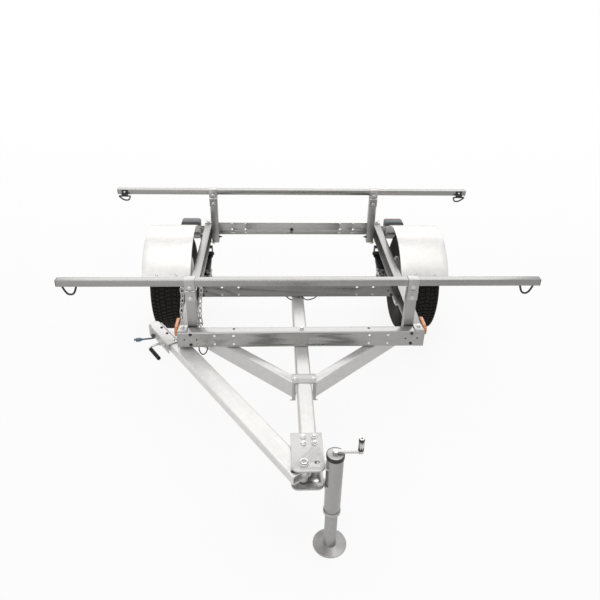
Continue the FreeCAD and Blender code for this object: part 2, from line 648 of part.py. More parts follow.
marker = pad(new_body("Marker"), "x", [rectangle("marker_front", "marker_front + marker_long", "marker_low",
                                                 "marker_low + marker_high")],
             "frame_half", "frame_half + marker_thick")
rounded(marker, "marker_high / 2 - fit_gap", (1, 0, 0))
node("side_markers", both(marker))

# Wheels: tyre and rim profiles carried round the axle in equal flats, x measured from the wheel's middle.
def ringed(name, profile):
    sides = int(read("wheel_sides"))
    step = 2 * math.pi / sides
    profile = [(read(x), read(radius)) for x, radius in profile]
    base = read("tyre_radius")
    corners = [vector(0, base / math.cos(step / 2) * math.sin(step * (side + 0.5)),
                      -base / math.cos(step / 2) * math.cos(step * (side + 0.5))) for side in range(sides)]
    start = (corners[-1] + corners[0]) * 0.5
    path = Part.makePolygon([start] + corners + [start])
    ring = Part.makePolygon([vector(x, 0, -radius) for x, radius in profile + profile[:1]])
    item = doc.addObject("Part::Feature", name)
    item.Shape = path.makePipeShell([ring], True, False, 1)
    return item


tread_radius = "tyre_radius - tread_drop"
seat_radius = "bead_radius - fit_gap"
tyre = ringed("Tyre", [
    ("-bead_half", "bead_radius"), ("-tyre_wide / 2", "belly_radius"), ("-shoulder_half", "shoulder_radius"),
    ("-tread_half", tread_radius), ("0", "tyre_radius"), ("tread_half", tread_radius),
    ("shoulder_half", "shoulder_radius"), ("tyre_wide / 2", "belly_radius"), ("bead_half", "bead_radius"),
])
rim = ringed("Rim", [
    ("-rim_half", seat_radius), ("rim_half", seat_radius), ("rim_half", seat_radius + " - rim_sheet"),
    ("dish_x + rim_sheet", seat_radius + " - rim_sheet"), ("hub_face + rim_sheet", "pilot_radius"),
    ("hub_face", "pilot_radius"), ("dish_x", seat_radius + " - rim_sheet"),
    ("-rim_half", seat_radius + " - rim_sheet"),
])
hub = new_body("Hub")
flange_x = "hub_face - fit_gap"
pad(hub, "x", [polygon("0", "0", "hub_barrel", 16)], "hub_back", "hub_face + rim_sheet")
pad(hub, "x", [polygon("0", "0", "hub_flange", 24)], flange_x + " - hub_flange_thick", flange_x)
pad(hub, "x", [polygon("0", "0", "hub_cap_radius", 16)], "hub_face", "hub_cap")
pocket(hub, "x", [("0", "0", "spindle_radius + pin_play")], "hub_back - rim_sheet", "spindle_end + rim_sheet")
for part_name, item in (("tyre", tyre), ("rim", rim), ("hub", hub)):
    place(item, "wheel_x", "wheel_y", "wheel_z")
    node(part_name + "_right", [item])
    node(part_name + "_left", [mirrored(item)])

# Hinge at the fixed tongue's front end, the pin standing upright through both plates.
hinge_loops = [rectangle("hinge_left", "hinge_right", "hinge_front", "hinge_rear")]
pin_loops = [polygon("pin_x", "pin_y", "pin_radius + pin_play", 12), polygon("-pin_x", "pin_y", "lock_bore", 8)]


def hinge_plate(low):
    body = pad(new_body("HingePlate"), "z", hinge_loops, low, low + " + hinge_thick")
    rounded(body, "hinge_round", (0, 0, 1), lambda middle: near(middle.y, "hinge_front"))
    return pocket(body, "z", pin_loops, low + " - hinge_thick", low + " + 2 * hinge_thick")


node("hinge_plates", [hinge_plate("frame_low"), hinge_plate("tongue_low - hinge_thick")])


pin_low, pin_high = "(tongue_low - hinge_thick)", "(frame_low + hinge_thick)"
pin = new_body("HingePin")
pad(pin, "z", [("pin_x", "pin_y", "pin_radius")], pin_low, pin_high)
pad(pin, "z", [polygon("pin_x", "pin_y", "pin_head", 6)], pin_low + " - pin_head_high", pin_low)
pad(pin, "z", [polygon("pin_x", "pin_y", "pin_head", 6)], pin_high, pin_high + " + pin_head_high")
node("hinge_pin", [pin])

# Folding tongue section: a flat tube on an upright sleeve, closed at its nose end.
section = tube("Section", "y", "axis_x - front_half", "axis_x + front_half", "front_top - front_high",
               "front_top", "-front_long", "front_back", "front_wall", "front_round", capped="-front_long")
sleeve_low, sleeve_high = "tongue_low + sleeve_gap", "frame_low - sleeve_gap"
pad(section, "z", [polygon("0", "0", "sleeve_radius", 12)], sleeve_low, sleeve_high)
pocket(section, "z", [("0", "0", "pin_radius + pin_play"), polygon("2 * axis_x", "0", "lock_bore", 8)],
       sleeve_low + " - sleeve_gap", sleeve_high + " + sleeve_gap")
front_tongue_node("tongue_front", [section])

# Coupler: a folded plate on the section's end with a turned nose over the ball socket.
plate_left, plate_right = "coupler_x - coupler_half", "coupler_x + coupler_half"
plate_top = "front_top + coupler_seat + coupler_sheet"
shell = new_body("CouplerShell")
pad(shell, "z", [[
    (plate_left, "-front_long + coupler_tail"), (plate_right, "-front_long + coupler_tail"),
    (plate_right, "-front_long - side_end"), ("coupler_x", "-front_long - coupler_nose - notch_long"),
    (plate_left, "-front_long - side_end"),
]], "front_top + coupler_seat", plate_top)
pad(shell, "z", [rectangle(plate_right + " - coupler_sheet", plate_right, "-front_long - side_end",
                           "-front_long + coupler_tail")], "coupler_side_low", plate_top)
pad(shell, "z", [rectangle(plate_left, plate_left + " + coupler_sheet", "-front_long - side_end",
                           "-front_long - notch_long")], "coupler_side_low", plate_top)
pad(shell, "z", [rectangle(plate_left, plate_left + " + coupler_sheet", "-front_long - side_end",
                           "-front_long + coupler_tail")], plate_top, plate_top + " + ridge_high")
handle_y = "(-front_long - handle_s)"
pad(shell, "x", [rectangle(handle_y + " - ear_wide / 2", handle_y + " + ear_wide / 2", "ear_low",
                           "coupler_side_low")], plate_right + " - coupler_sheet", plate_right)
pocket(shell, "x", [polygon(handle_y, "handle_z", "handle_hole", 8)], plate_right + " - 2 * coupler_sheet",
       plate_right + " + coupler_sheet")
nose_y = "(-front_long - coupler_nose)"
nose = pad(new_body("Nose"), "z", [polygon("coupler_x", nose_y, "nose_radius", 20)], "nose_low", plate_top)
chamfered(nose, "nose_chamfer", lambda middle: near(middle.z, plate_top))
mouth = pad(new_body("Mouth"), "z", [("coupler_x", nose_y, "ball_radius")], "nose_low - coupler_sheet",
            "nose_low + ball_deep")
pad(mouth, "z", [polygon("coupler_x", nose_y, "ball_radius - nose_chamfer", 12)], "nose_low",
    plate_top + " - coupler_sheet")
front_tongue_node("coupler", [cut(join([shell, nose]), mouth)])
knob = pad(new_body("Knob"), "x", [polygon("-front_long - knob_s", "knob_z", "knob_radius", 12)],
           plate_right + " + fit_gap", plate_right + " + fit_gap + knob_long")
front_tongue_node("coupler_latch", [knob])


def bend_points(before, corner, after, radius, steps):
    # Points along the arc that rounds a corner between two straight runs.
    before, corner, after = vector(*before), vector(*corner), vector(*after)
    towards, away = (corner - before).normalize(), (after - corner).normalize()
    half_turn = towards.getAngle(away) / 2
    middle = corner + (away - towards).normalize() * (radius / math.cos(half_turn))
    spoke = corner - towards * (radius * math.tan(half_turn)) - middle
    axis = towards.cross(away)
    turns = [FreeCAD.Rotation(axis, math.degrees(2 * half_turn) * step / steps) for step in range(steps + 1)]
    return [tuple(middle + turning.multVec(spoke)) for turning in turns]


# Lift handle: a bent rod through the ear of the coupler, with a grip parallel to the section.
handle_x = read("axis_x + handle_out")
rod_y, rod_z = read(handle_y), read("handle_z")
rod_end = read(handle_y + " + grip_near + grip_long - grip_radius")
handle_ends = ((read("axis_x + handle_start"), rod_y, rod_z), (handle_x, rod_end, rod_z))
handle_bend = bend_points(handle_ends[0], (handle_x, rod_y, rod_z), handle_ends[1], read("handle_bend"), 4)
handle = swept([handle_ends[0]] + handle_bend + [handle_ends[1]], read("handle_rod"), 8, False)
front_tongue_node("lift_handle", [handle])
grip = new_body("Grip")
grip_start = handle_y + " + grip_near"
pad(grip, "y", [polygon("axis_x + handle_out", "handle_z", "grip_radius", 12)], grip_start,
    grip_start + " + grip_long")
pocket(grip, "y", [polygon("axis_x + handle_out", "handle_z", "grip_bore", 8)], grip_start + " - grip_radius",
       grip_start + " + grip_long - grip_radius + fit_gap")
front_tongue_node("handle_grip", [grip])

# Lead out of the section's closed end, down past the coupler to a flat plug.
def rounded_route(route, radius):
    # Straight runs joined by arcs as wide as the two runs beside each point allow.
    points = [vector(*point) for point in route]
    edges = []
    radii = []
    start = points[0]
    for before, corner, after in zip(points, points[1:], points[2:]):
        towards, away = (corner - before).normalize(), (after - corner).normalize()
        reach = 0.45 * min((corner - before).Length, (after - corner).Length)
        half_turn = towards.getAngle(away) / 2
        wide = reach / math.tan(half_turn)
        entry, leave = corner - towards * reach, corner + away * reach
        sagitta = wide / math.cos(half_turn) - wide
        middle = corner + (away - towards).normalize() * sagitta
        edges.append(Part.LineSegment(start, entry).toShape())
        edges.append(Part.Arc(entry, middle, leave).toShape())
        radii.append(wide)
        start = leave
    edges.append(Part.LineSegment(start, points[-1]).toShape())
    path = Part.Wire(edges)
    solid = path.makePipeShell([ring_about(points[0], points[1] - points[0], radius, 8)], True, False)
    section = 4 * radius ** 2 * math.sin(math.pi / 4)
    print("cord %.1f long, radii %s, volume %.0f of %.0f" % (
        path.Length, " ".join("%.1f" % wide for wide in radii), solid.Volume, section * path.Length))
    return solid


lead_route = [(35.4, -973, 357), (35.4, -995, 357), (48, -1016, 343), (66, -1034, 328), (87, -1052, 322),
              (109.4, -1062, 322)]
lead = doc.addObject("Part::Feature", "Lead")
lead.Shape = rounded_route(lead_route, read("lead_radius"))
front_tongue_node("plug_lead", [lead])
plug = pad(new_body("Plug"), "x", [rectangle("-plug_half", "plug_half", "-plug_thick / 2", "plug_thick / 2")],
           "0", "plug_long")
turn(plug, (0, 0, 1), "plug_turn")
place(plug, *["%g" % number for number in lead_route[-1]])
front_tongue_node("lead_plug", [plug])

# Jack: an outer tube clamped beside the hinge, an inner leg with a foot plate that slides down.
leg_bore = "jack_leg_radius + jack_play"
jack = revolved("Jack", [
    (leg_bore, "jack_low"), ("jack_radius", "jack_low"), ("jack_radius", "jack_top"), ("0", "jack_top"),
    ("0", "jack_top - jack_cap"), (leg_bore, "jack_top - jack_cap"),
], about="V_Axis")
node("jack_tube", [place(jack, "jack_x", "jack_y")])


def jack_grip(low):
    body = pad(new_body("JackClamp"), "z", [rectangle("hinge_right", "jack_x", "jack_y - clamp_half",
                                                      "jack_y + clamp_half")], low, low + " + hinge_thick")
    return pocket(body, "z", [("jack_x", "jack_y", "jack_radius + jack_play")], low + " - hinge_thick",
                  low + " + 2 * hinge_thick")


node("jack_clamp", [jack_grip("frame_low"), jack_grip("tongue_low - hinge_thick")])
crank = new_body("Crank")
crank_low, crank_high = "jack_top", "jack_top + crank_rise"
pad(crank, "z", [polygon("jack_x", "jack_y", "crank_knob", 6)], crank_low, crank_high)
pad(crank, "x", [rectangle("jack_y - crank_side / 2", "jack_y + crank_side / 2",
                           crank_high + " - crank_side", crank_high)], "jack_x", "jack_x + crank_reach")
pad(crank, "z", [polygon("jack_x + crank_reach", "jack_y", "crank_knob", 8)], crank_high + " - crank_side",
    crank_high + " + crank_knob_high")
node("jack_crank", [crank])
leg = pad(new_body("Leg"), "z", [polygon("0", "0", "foot_radius", 24)], "0", "foot_thick")
pad(leg, "z", [("0", "0", "jack_leg_radius")], "foot_thick / 2", "jack_leg_top")
node("jack_leg", [place(leg, "jack_x", "jack_y")])


# Safety chain over the front left saddle, its links leaning one way and the other along a route.
def chain_link(middle, ahead, lean, pitch, wide, wire):
    half_long = (read(pitch) + read("chain_slack")) / 2 + read(wire)
    half_wide = read(wide) / 2
    aside = FreeCAD.Rotation(ahead, lean).multVec(ahead.cross(vector(0, 1, 0)).normalize())
    crown = [math.radians(angle) for angle in (90, 45, 0, -45, -90)]
    end = [(half_long - half_wide + half_wide * math.cos(angle), half_wide * math.sin(angle)) for angle in crown]
    ring = end + [(-a, -b) for a, b in end]
    return swept([middle + ahead * a + aside * b for a, b in ring], read(wire), 4, True)


def along_route(route, distance):
    for (x0, z0), (x1, z1) in zip(route, route[1:]):
        run = math.hypot(x1 - x0, z1 - z0)
        if distance <= run:
            share = distance / run
            return x0 + (x1 - x0) * share, z0 + (z1 - z0) * share
        distance -= run


# Two links lie on the saddle, then the chain hangs down both sides of the post.
chain_level = read("post_top + plate_thick + chain_rise")
top_joints = [(read("chain_pitch") * side - read("post_mid"), chain_level) for side in (-1, 0, 1)]
left_route = [top_joints[0], (-499, 620.5), (-498, 598), (-500, 561), (-507, 518), (-510, 484), (-511, 462)]
right_route = [top_joints[-1], (-418, 620.5), (-420, 598), (-425, 562), (-429, 530), (-431, 500), (-431, 462)]
hanging = range(1, int(read("chain_hanging")) + 1)
flat_joints = [along_route(left_route, read("chain_pitch") * count) for count in reversed(hanging)] + top_joints \
    + [along_route(right_route, read("chain_pitch") * count) for count in hanging]
joints = [vector(x, read("chain_y"), z) for x, z in flat_joints]
links = [chain_link((a + b) * 0.5, (b - a).normalize(), -45 if number % 2 else 45, "chain_pitch",
                    "chain_wide", "chain_wire")
         for number, (a, b) in enumerate(zip(joints, joints[1:]))]
node("safety_chain", links)

# The chain ends in a larger link and an open hook that hangs from it.
down = vector(0, 0, -1)
hook_eye = joints[-1] + down * read("hook_pitch")
hook_link = chain_link((joints[-1] + hook_eye) * 0.5, down, 45, "hook_pitch",
                       "hook_wide", "hook_wire")
eye_level = read("hook_wire + chain_slack / 4 - hook_bend")
hook_turns = [math.radians(angle) for angle in (-50, 0, 60, 120, 180, 230)]
hook_eye_points = [(read("hook_bend") * math.cos(angle), eye_level + read("hook_bend") * math.sin(angle))
                   for angle in hook_turns]
hook_points = hook_eye_points + [(0, -17), (0, -27), (3, -35), (9.5, -38), (16, -34), (18, -27), (21, -22)]
hook = swept([hook_eye + vector(x, 0, z) for x, z in hook_points], read("hook_wire"), 6, False)
node("chain_hook", [hook_link, hook])

doc.recompute()
faults = []
for item in doc.Objects:
    if "Invalid" in item.State or "Error" in item.State:
        faults.append("%s %s" % (item.Name, item.State))
for name, item in nodes.items():
    if item.Shape.isNull() or not item.Shape.isValid() or not item.Shape.Solids:
        faults.append("%s has no valid solid" % name)
if faults:
    raise SystemExit("; ".join(faults))
for name, item in sorted(nodes.items()):
    item.Shape.exportStep("parts/%s.step" % name)
    limits = item.Shape.BoundBox
    print("%-20s %2d solids  x %7.1f %7.1f  y %7.1f %7.1f  z %6.1f %6.1f" % (
        name, len(item.Shape.Solids), limits.XMin, limits.XMax, limits.YMin, limits.YMax, limits.ZMin,
        limits.ZMax))
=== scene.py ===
import bpy, bmesh, json
from math import copysign, cos, hypot, pi, radians, sin
from mathutils import Matrix, Vector


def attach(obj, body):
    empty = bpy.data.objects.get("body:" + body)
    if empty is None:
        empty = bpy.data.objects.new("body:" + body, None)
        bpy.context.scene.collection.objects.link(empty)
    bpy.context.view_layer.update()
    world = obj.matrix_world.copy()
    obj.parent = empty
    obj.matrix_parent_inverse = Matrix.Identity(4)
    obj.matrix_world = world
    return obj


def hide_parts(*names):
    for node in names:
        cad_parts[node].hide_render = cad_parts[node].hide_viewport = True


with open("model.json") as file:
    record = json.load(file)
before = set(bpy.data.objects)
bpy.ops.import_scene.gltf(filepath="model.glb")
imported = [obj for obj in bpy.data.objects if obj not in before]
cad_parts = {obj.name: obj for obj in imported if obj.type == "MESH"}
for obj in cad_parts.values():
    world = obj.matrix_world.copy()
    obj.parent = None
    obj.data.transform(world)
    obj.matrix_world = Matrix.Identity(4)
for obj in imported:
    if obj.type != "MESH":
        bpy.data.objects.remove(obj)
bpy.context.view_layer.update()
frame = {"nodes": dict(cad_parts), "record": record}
bodyOf = {node: body for body, nodes in frame["record"]["behaviour"]["bodies"].items() for node in nodes}
scene = bpy.context.scene
scene.view_settings.view_transform = "Standard"
print("frame loaded")


def placed(name, data):  # a new object in the scene
    item = bpy.data.objects.new(name, data)
    scene.collection.objects.link(item)
    return item


# camera: stands in front of the trailer and looks down on it
view = {"place": (-0.1184, -2.2487, 1.7861), "yaw": 0.05326, "pitch": 0.52761, "roll": -0.02306, "lens": 34.5,
        "sensor": 36}


def makeCamera():
    cy, sy = cos(view["yaw"]), sin(view["yaw"])
    cp, sp = cos(view["pitch"]), sin(view["pitch"])
    cr, sr = cos(view["roll"]), sin(view["roll"])
    ahead = Vector((sy * cp, cy * cp, -sp))
    right = Vector((cy, -sy, 0))
    down = -right.cross(ahead)
    right, down = cr * right + sr * down, -sr * right + cr * down
    data = bpy.data.cameras.new("camera")
    data.lens, data.sensor_width = view["lens"], view["sensor"]
    scene.camera = placed("camera", data)
    turn = Matrix((right, -down, -ahead)).transposed()
    scene.camera.matrix_world = Matrix.Translation(view["place"]) @ turn.to_4x4()


makeCamera()

# places: y is counted back from the front load bar's front face, as in the part's source
barShift = -0.195
hinge = {"place": Vector((-0.0214, -0.710 + barShift, 0)), "fold": radians(-146.13)}
axle = {"x": 0.655, "y": 0.772, "z": 0.260}  # the middle of a wheel
up, front, back, rightWay = Vector((0, 0, 1)), Vector((0, -1, 0)), Vector((0, 1, 0)), Vector((1, 0, 0))


def atBar(x, y, z):
    return Vector((x, y + barShift, z))


def tongueWay(x, y, z):
    return Matrix.Rotation(hinge["fold"], 3, "Z") @ Vector((x, y, z))


def onTongue(x, y, z):  # a point of the folding section, drawn straight out from the hinge pin
    return hinge["place"] + tongueWay(x, y, z)


class Link:  # one output socket of a node tree; arithmetic on it adds Math nodes
    def __init__(self, owner, socket):
        self.owner, self.socket = owner, socket

    def sums(self, operation, a, b=0.0):
        return self.owner.add("ShaderNodeMath", {0: a, 1: b}, operation=operation)

    def __add__(self, other): return self.sums("ADD", self, other)
    __radd__ = __add__
    def __sub__(self, other): return self.sums("SUBTRACT", self, other)
    def __rsub__(self, other): return self.sums("SUBTRACT", other, self)
    def __mul__(self, other): return self.sums("MULTIPLY", self, other)
    __rmul__ = __mul__
    def __abs__(self): return self.sums("ABSOLUTE", self)
    def __getitem__(self, name): return Link(self.owner, self.socket.node.outputs[name])


class Nodes:  # a node tree in the making
    def __init__(self, tree):
        self.tree = tree
        tree.nodes.clear()

    def add(self, kind, inputs, out=0, **settings):
        made = self.tree.nodes.new(kind)
        for key, value in settings.items():
            setattr(made, key, value)
        for key, value in inputs.items():
            socket = made.inputs[key]
            if isinstance(value, Link):
                self.tree.links.new(value.socket, socket)
            elif socket.type == "RGBA":
                socket.default_value = (*value, 1)
            else:
                socket.default_value = value
        return Link(self, made.outputs[out]) if made.outputs else None


class Finish(Nodes):  # a material, or a world, on Object coordinates
    def __init__(self, name, owner=None):
        self.material = owner or bpy.data.materials.new(name)
        self.material.use_nodes = True
        super().__init__(self.material.node_tree)
        self.coord = self.add("ShaderNodeTexCoord", {}, "Object")

    def turned(self, angle, stretch):  # the coordinates turned about the vertical, then stretched
        spun = self.add("ShaderNodeMapping", {"Vector": self.coord, "Rotation": (0, 0, angle)})
        return self.add("ShaderNodeMapping", {"Vector": spun, "Scale": stretch})

    def noise(self, scale, detail=3, stretch=(1, 1, 1), angle=0.0):
        return self.add("ShaderNodeTexNoise", {"Vector": self.turned(angle, stretch), "Scale": scale,
                                               "Detail": detail, "Roughness": 0.55}, "Fac")

    def along(self, axis):  # one coordinate, in metres
        return self.add("ShaderNodeSeparateXYZ", {0: self.coord}, "XYZ".index(axis))

    def ranged(self, value, low, high, to0=0.0, to1=1.0):
        return self.add("ShaderNodeMapRange", {"Value": value, "From Min": low, "From Max": high,
                                               "To Min": to0, "To Max": to1})

    def mix(self, a, b, factor):
        return self.add("ShaderNodeMix", {6: a, 7: b, 0: factor}, 2, data_type="RGBA")

    def bump(self, height, strength, distance):
        return self.add("ShaderNodeBump", {"Height": height, "Strength": strength, "Distance": distance})

    def done(self, **sockets):
        named = {label.replace("_", " "): value for label, value in sockets.items()}
        return self.close(self.add("ShaderNodeBsdfPrincipled", named))

    def close(self, surface, kind="ShaderNodeOutputMaterial"):
        self.add(kind, {"Surface": surface})
        return self.material


def tinted(colour, share, lift=0.0):
    return tuple(min(1.0, share * part + lift) for part in colour)


# galvanised sheet: crystals, clouds, and fine rolling lines along the piece
zinc = {"tone": 0.42, "rough": 0.34, "metal": 0.85, "crystals": 70.0, "clouds": 7.0, "smears": 28.0,
        "rolling": 260.0, "spots": 90.0, "spotFrom": 0.66, "spotTo": 0.76, "base": 0.82, "flake": 0.06,
        "cloud": 0.20, "smear": 0.09, "lines": 0.05, "bright": 1.18, "warm": (1.0, 0.985, 0.96), "dark": 0.2,
        "cold": (0.92, 0.98, 1.05), "spotTone": (0.7, 0.7, 0.7), "spotMix": 0.2, "flakeGloss": 0.05,
        "cloudGloss": 0.16, "smearGloss": 0.04, "spotGloss": 0.05, "relief": 0.4, "bump": 0.03, "deep": 0.0004}


def zincFinish(name, tone=zinc["tone"], rough=zinc["rough"], metal=zinc["metal"], grain=(1, 1, 1),
               angle=0.0, lines=zinc["lines"]):
    f, z = Finish(name), zinc
    crystal = f.add("ShaderNodeTexVoronoi", {"Vector": f.coord, "Scale": z["crystals"]}, "Color")
    flake = f.add("ShaderNodeSeparateColor", {"Color": crystal})
    cloud, smear = f.noise(z["clouds"], 5), f.noise(z["smears"], 4, grain, angle)
    fine = f.noise(z["rolling"], 2, grain, angle)
    spots = f.ranged(f.noise(z["spots"], 2), z["spotFrom"], z["spotTo"])
    shade = z["base"] + z["flake"] * flake + z["cloud"] * (cloud - 0.5) + z["smear"] * (smear - 0.5)
    shade = shade + 2 * lines * (fine - 0.5)
    sheet = f.mix(tinted(z["cold"], tone * z["dark"]), tinted(z["warm"], tone * z["bright"]), shade)
    gloss = rough + z["flakeGloss"] * (flake - 0.5) + z["cloudGloss"] * (cloud - 0.5)
    gloss = gloss + z["smearGloss"] * (smear - 0.5) + z["spotGloss"] * spots
    height = z["relief"] * flake + z["relief"] * fine + cloud
    return f.done(Base_Color=f.mix(sheet, tinted(z["spotTone"], tone), z["spotMix"] * spots), Metallic=metal,
                  Roughness=gloss, Normal=f.bump(height, z["bump"], z["deep"]))


paint = {"clouds": 14.0, "grain": 300.0, "wears": 55.0, "wearFrom": 0.62, "wearTo": 0.72, "wearMix": 0.3,
         "dark": 0.75, "light": 1.25, "worn": (1.6, 0.02), "cloudGloss": 0.18, "wearGloss": 0.1, "bump": 0.12,
         "deep": 0.0004}


def paintFinish(name, colour, rough, metal=0.0):  # a little cloudy, worn lighter in places
    f, p = Finish(name), paint
    cloud, fine = f.noise(p["clouds"], 4), f.noise(p["grain"], 2)
    wear = f.ranged(f.noise(p["wears"], 3), p["wearFrom"], p["wearTo"])
    base = f.mix(tinted(colour, p["dark"]), tinted(colour, p["light"]), cloud)
    return f.done(Base_Color=f.mix(base, tinted(colour, *p["worn"]), p["wearMix"] * wear), Metallic=metal,
                  Roughness=rough + p["cloudGloss"] * (cloud - 0.5) + p["wearGloss"] * wear,
                  Normal=f.bump(fine, p["bump"], p["deep"]))


rubber = {"dusts": 11.0, "dustFrom": 0.45, "dustTo": 0.8, "dustMix": 0.5, "dusty": (2.2, 0.006),
          "dustGloss": 0.12, "grain": 700.0, "shine": 0.22, "bump": 0.25, "deep": 0.0005}


def rubberFinish(name, colour, rough):  # dusty, with a fine moulded grain
    f, r = Finish(name), rubber
    dust, fine = f.ranged(f.noise(r["dusts"], 5), r["dustFrom"], r["dustTo"]), f.noise(r["grain"], 2)
    return f.done(Base_Color=f.mix(colour, tinted(colour, *r["dusty"]), r["dustMix"] * dust),
                  Roughness=rough + r["dustGloss"] * dust, Specular_IOR_Level=r["shine"],
                  Normal=f.bump(fine, r["bump"], r["deep"]))


lens = {"clouds": 20.0, "cloudMix": 0.3, "cloudGloss": 0.1, "from": 0.15, "to": 0.85, "rough": 0.16,
        "coat": 0.6, "bump": 0.35, "deep": 0.0008}


def lensFinish(name, colour, deep, axes, cell):  # clear moulded plastic over a grid of small prisms
    f = Finish(name)
    waves = [abs(f.add("ShaderNodeMath", {0: f.along(axis) * (1 / cell)}, operation="FRACT") - 0.5)
             for axis in axes]
    prism, cloud = waves[0] + waves[1], f.noise(lens["clouds"], 3)
    share = f.ranged(prism + lens["cloudMix"] * (cloud - 0.5), lens["from"], lens["to"])
    return f.done(Base_Color=f.mix(deep, colour, share), Coat_Weight=lens["coat"],
                  Roughness=lens["rough"] + lens["cloudGloss"] * cloud,
                  Normal=f.bump(prism, lens["bump"], lens["deep"]))


# the rolling lines run along the piece, so the coordinates are squeezed that way
alongX, alongY, alongPost, alongBar = (0.04, 1, 1), (1, 0.04, 1), (1, 1, 0.06), (0.02, 1, 1)
finishes = {
    "zinc": zincFinish("zinc"),
    "zincAcross": zincFinish("zincAcross", 0.38, 0.30, grain=alongX),
    "zincLong": zincFinish("zincLong", 0.34, grain=alongY),
    # tongue braces: the same zinc toned lighter, as painted light
    "zincBracePaintedLight": zincFinish("zincBracePaintedLight", 0.59, 0.38, 0.7, alongY),
    # fixed tongue: the same zinc toned lighter, as painted light
    "zincTonguePaintedLight": zincFinish("zincTonguePaintedLight", 0.66, 0.44, 0.65, alongY),
    # middle crossmember: the same zinc toned darker, as painted shade
    "zincMiddlePaintedShade": zincFinish("zincMiddlePaintedShade", 0.22, 0.30, grain=alongX),
    # rear crossmember: the same zinc toned lighter, as painted light
    "zincRearPaintedLight": zincFinish("zincRearPaintedLight", 0.54, 0.36, 0.8, alongX),
    # folding section: the same zinc toned lighter, as painted light
    "zincFoldPaintedLight": zincFinish("zincFoldPaintedLight", 0.71, 0.46, 0.5, (1, 0.03, 1), -hinge["fold"], lines=0.10),
    "zincPost": zincFinish("zincPost", 0.36, grain=alongPost),
    # load bars: the same zinc toned darker, as painted shade on the front faces
    "zincBarPaintedShade": zincFinish("zincBarPaintedShade", 0.31, 0.27, 0.9, alongBar, lines=0.07),
    "fender": zincFinish("fenderSheet", 0.70, 0.40, 0.65),
    "bright": zincFinish("platedSteel", 0.58, 0.26, 1.0),
    "darkBolt": paintFinish("darkBolt", (0.045, 0.045, 0.048), 0.38, 0.7),
    "rubber": rubberFinish("tyreRubber", (0.0110, 0.0092, 0.0080), 0.70),
    "black": paintFinish("blackPaint", (0.009, 0.009, 0.0095), 0.40),
    "rim": zincFinish("rimZinc", 0.5, 0.36, 0.8),
    "lamp": paintFinish("lampPlastic", (0.075, 0.075, 0.085), 0.46),
    "red": lensFinish("redLens", (0.62, 0.02, 0.015), (0.22, 0.004, 0.004), "XZ", 0.006),
    "amber": lensFinish("amberLens", (0.78, 0.27, 0.045), (0.42, 0.10, 0.01), "YZ", 0.005),
    "grip": rubberFinish("gripRubber", (0.006, 0.006, 0.0065), 0.42),
    "wire": paintFinish("wireBlack", (0.014, 0.014, 0.015), 0.45),
    "wireWhite": paintFinish("wireWhite", (0.75, 0.74, 0.70), 0.5),
    "wireYellow": paintFinish("wireYellow", (0.62, 0.42, 0.05), 0.5),
    "plug": rubberFinish("plugRubber", (0.10, 0.15, 0.19), 0.5),
    "brass": zincFinish("brassPin", 0.6, 0.3, 1.0),
    "shade": paintFinish("holeShade", (0.02, 0.02, 0.02), 0.8),
    "coupler": zincFinish("couplerZinc", 0.50, 0.38, 0.8),
    "knob": paintFinish("knobPaint", (0.06, 0.06, 0.065), 0.4, 0.3),
}
print("finishes made")


def newPiece(name, mesh, finish, node, trim=False):
    # rides on its node's body and gets the given finish; unless it is only trim, it stands in for the node
    piece = placed(name, mesh)
    mesh.materials.clear()
    mesh.materials.append(finishes[finish])
    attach(piece, bodyOf[node])
    if not trim:
        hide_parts(node)
    return piece


def shaded(mesh, smooth):  # soft shading up to an angle
    mesh.shade_smooth()
    mesh.set_sharp_from_angle(angle=radians(smooth))


def tidy(mesh, smooth=35.0, merge=1e-6):  # doubles merged, faces turned outwards
    work = bmesh.new()
    work.from_mesh(mesh)
    bmesh.ops.remove_doubles(work, verts=work.verts, dist=merge)
    bmesh.ops.recalc_face_normals(work, faces=work.faces)
    work.to_mesh(mesh)
    work.free()
    shaded(mesh, smooth)


def meshOf(name, verts, faces, smooth=35.0):
    mesh = bpy.data.meshes.new(name)
    mesh.from_pydata([tuple(vert) for vert in verts], [], faces)
    tidy(mesh, smooth)
    return mesh


def quads(rows, count, rowsMeet=False, rowCloses=True):  # faces between rows of points, each row this long
    faces = []
    for row in range(rows if rowsMeet else rows - 1):
        here, after = row * count, (row + 1) % rows * count
        for k in range(count if rowCloses else count - 1):
            m = (k + 1) % count
            faces.append((here + k, here + m, after + m, after + k))
    return faces


def capped(rows, count):  # the same for a closed tube, with a face at each end
    last = (rows - 1) * count
    return quads(rows, count) + [tuple(reversed(range(count))), tuple(range(last, last + count))]


def joined(*parts):
    verts, faces = [], []
    for points, polys in parts:
        start = len(verts)
        verts += points
        faces += [tuple(start + corner for corner in poly) for poly in polys]
    return verts, faces


def merged(name, meshes):
    work = bmesh.new()
    for mesh in meshes:
        work.from_mesh(mesh)
    whole = bpy.data.meshes.new(name)
    work.to_mesh(whole)
    work.free()
    tidy(whole, 40, 1e-7)
    return whole


def turnedRings(rings, sides, closed=True):  # (radius, height) rings about Z, joined by faces
    verts = []
    for radius, height in rings:
        for side in range(sides):
            angle = 2 * pi * (side + 0.5) / sides
            verts.append((radius * cos(angle), radius * sin(angle), height))
    return verts, (capped if closed else quads)(len(rings), sides)


def pointed(mesh, place, way):  # drawn along Z, then set on a place and pointed along a way
    mesh.transform(Matrix.Translation(place) @ way.to_track_quat("Z", "Y").to_matrix().to_4x4())
    return mesh


def evaluated(holder):  # an object's mesh as its modifiers leave it
    bpy.context.view_layer.update()
    return bpy.data.meshes.new_from_object(holder.evaluated_get(bpy.context.evaluated_depsgraph_get()))


def baked(shape, *modifiers):  # a mesh or curve as a mesh, after modifiers, each a (kind, settings) pair
    holder = placed("holder", shape)
    for kind, settings in modifiers:
        made = holder.modifiers.new(kind.lower(), kind)
        for key, value in settings.items():
            setattr(made, key, value)
    result = evaluated(holder)
    bpy.data.objects.remove(holder)
    return result


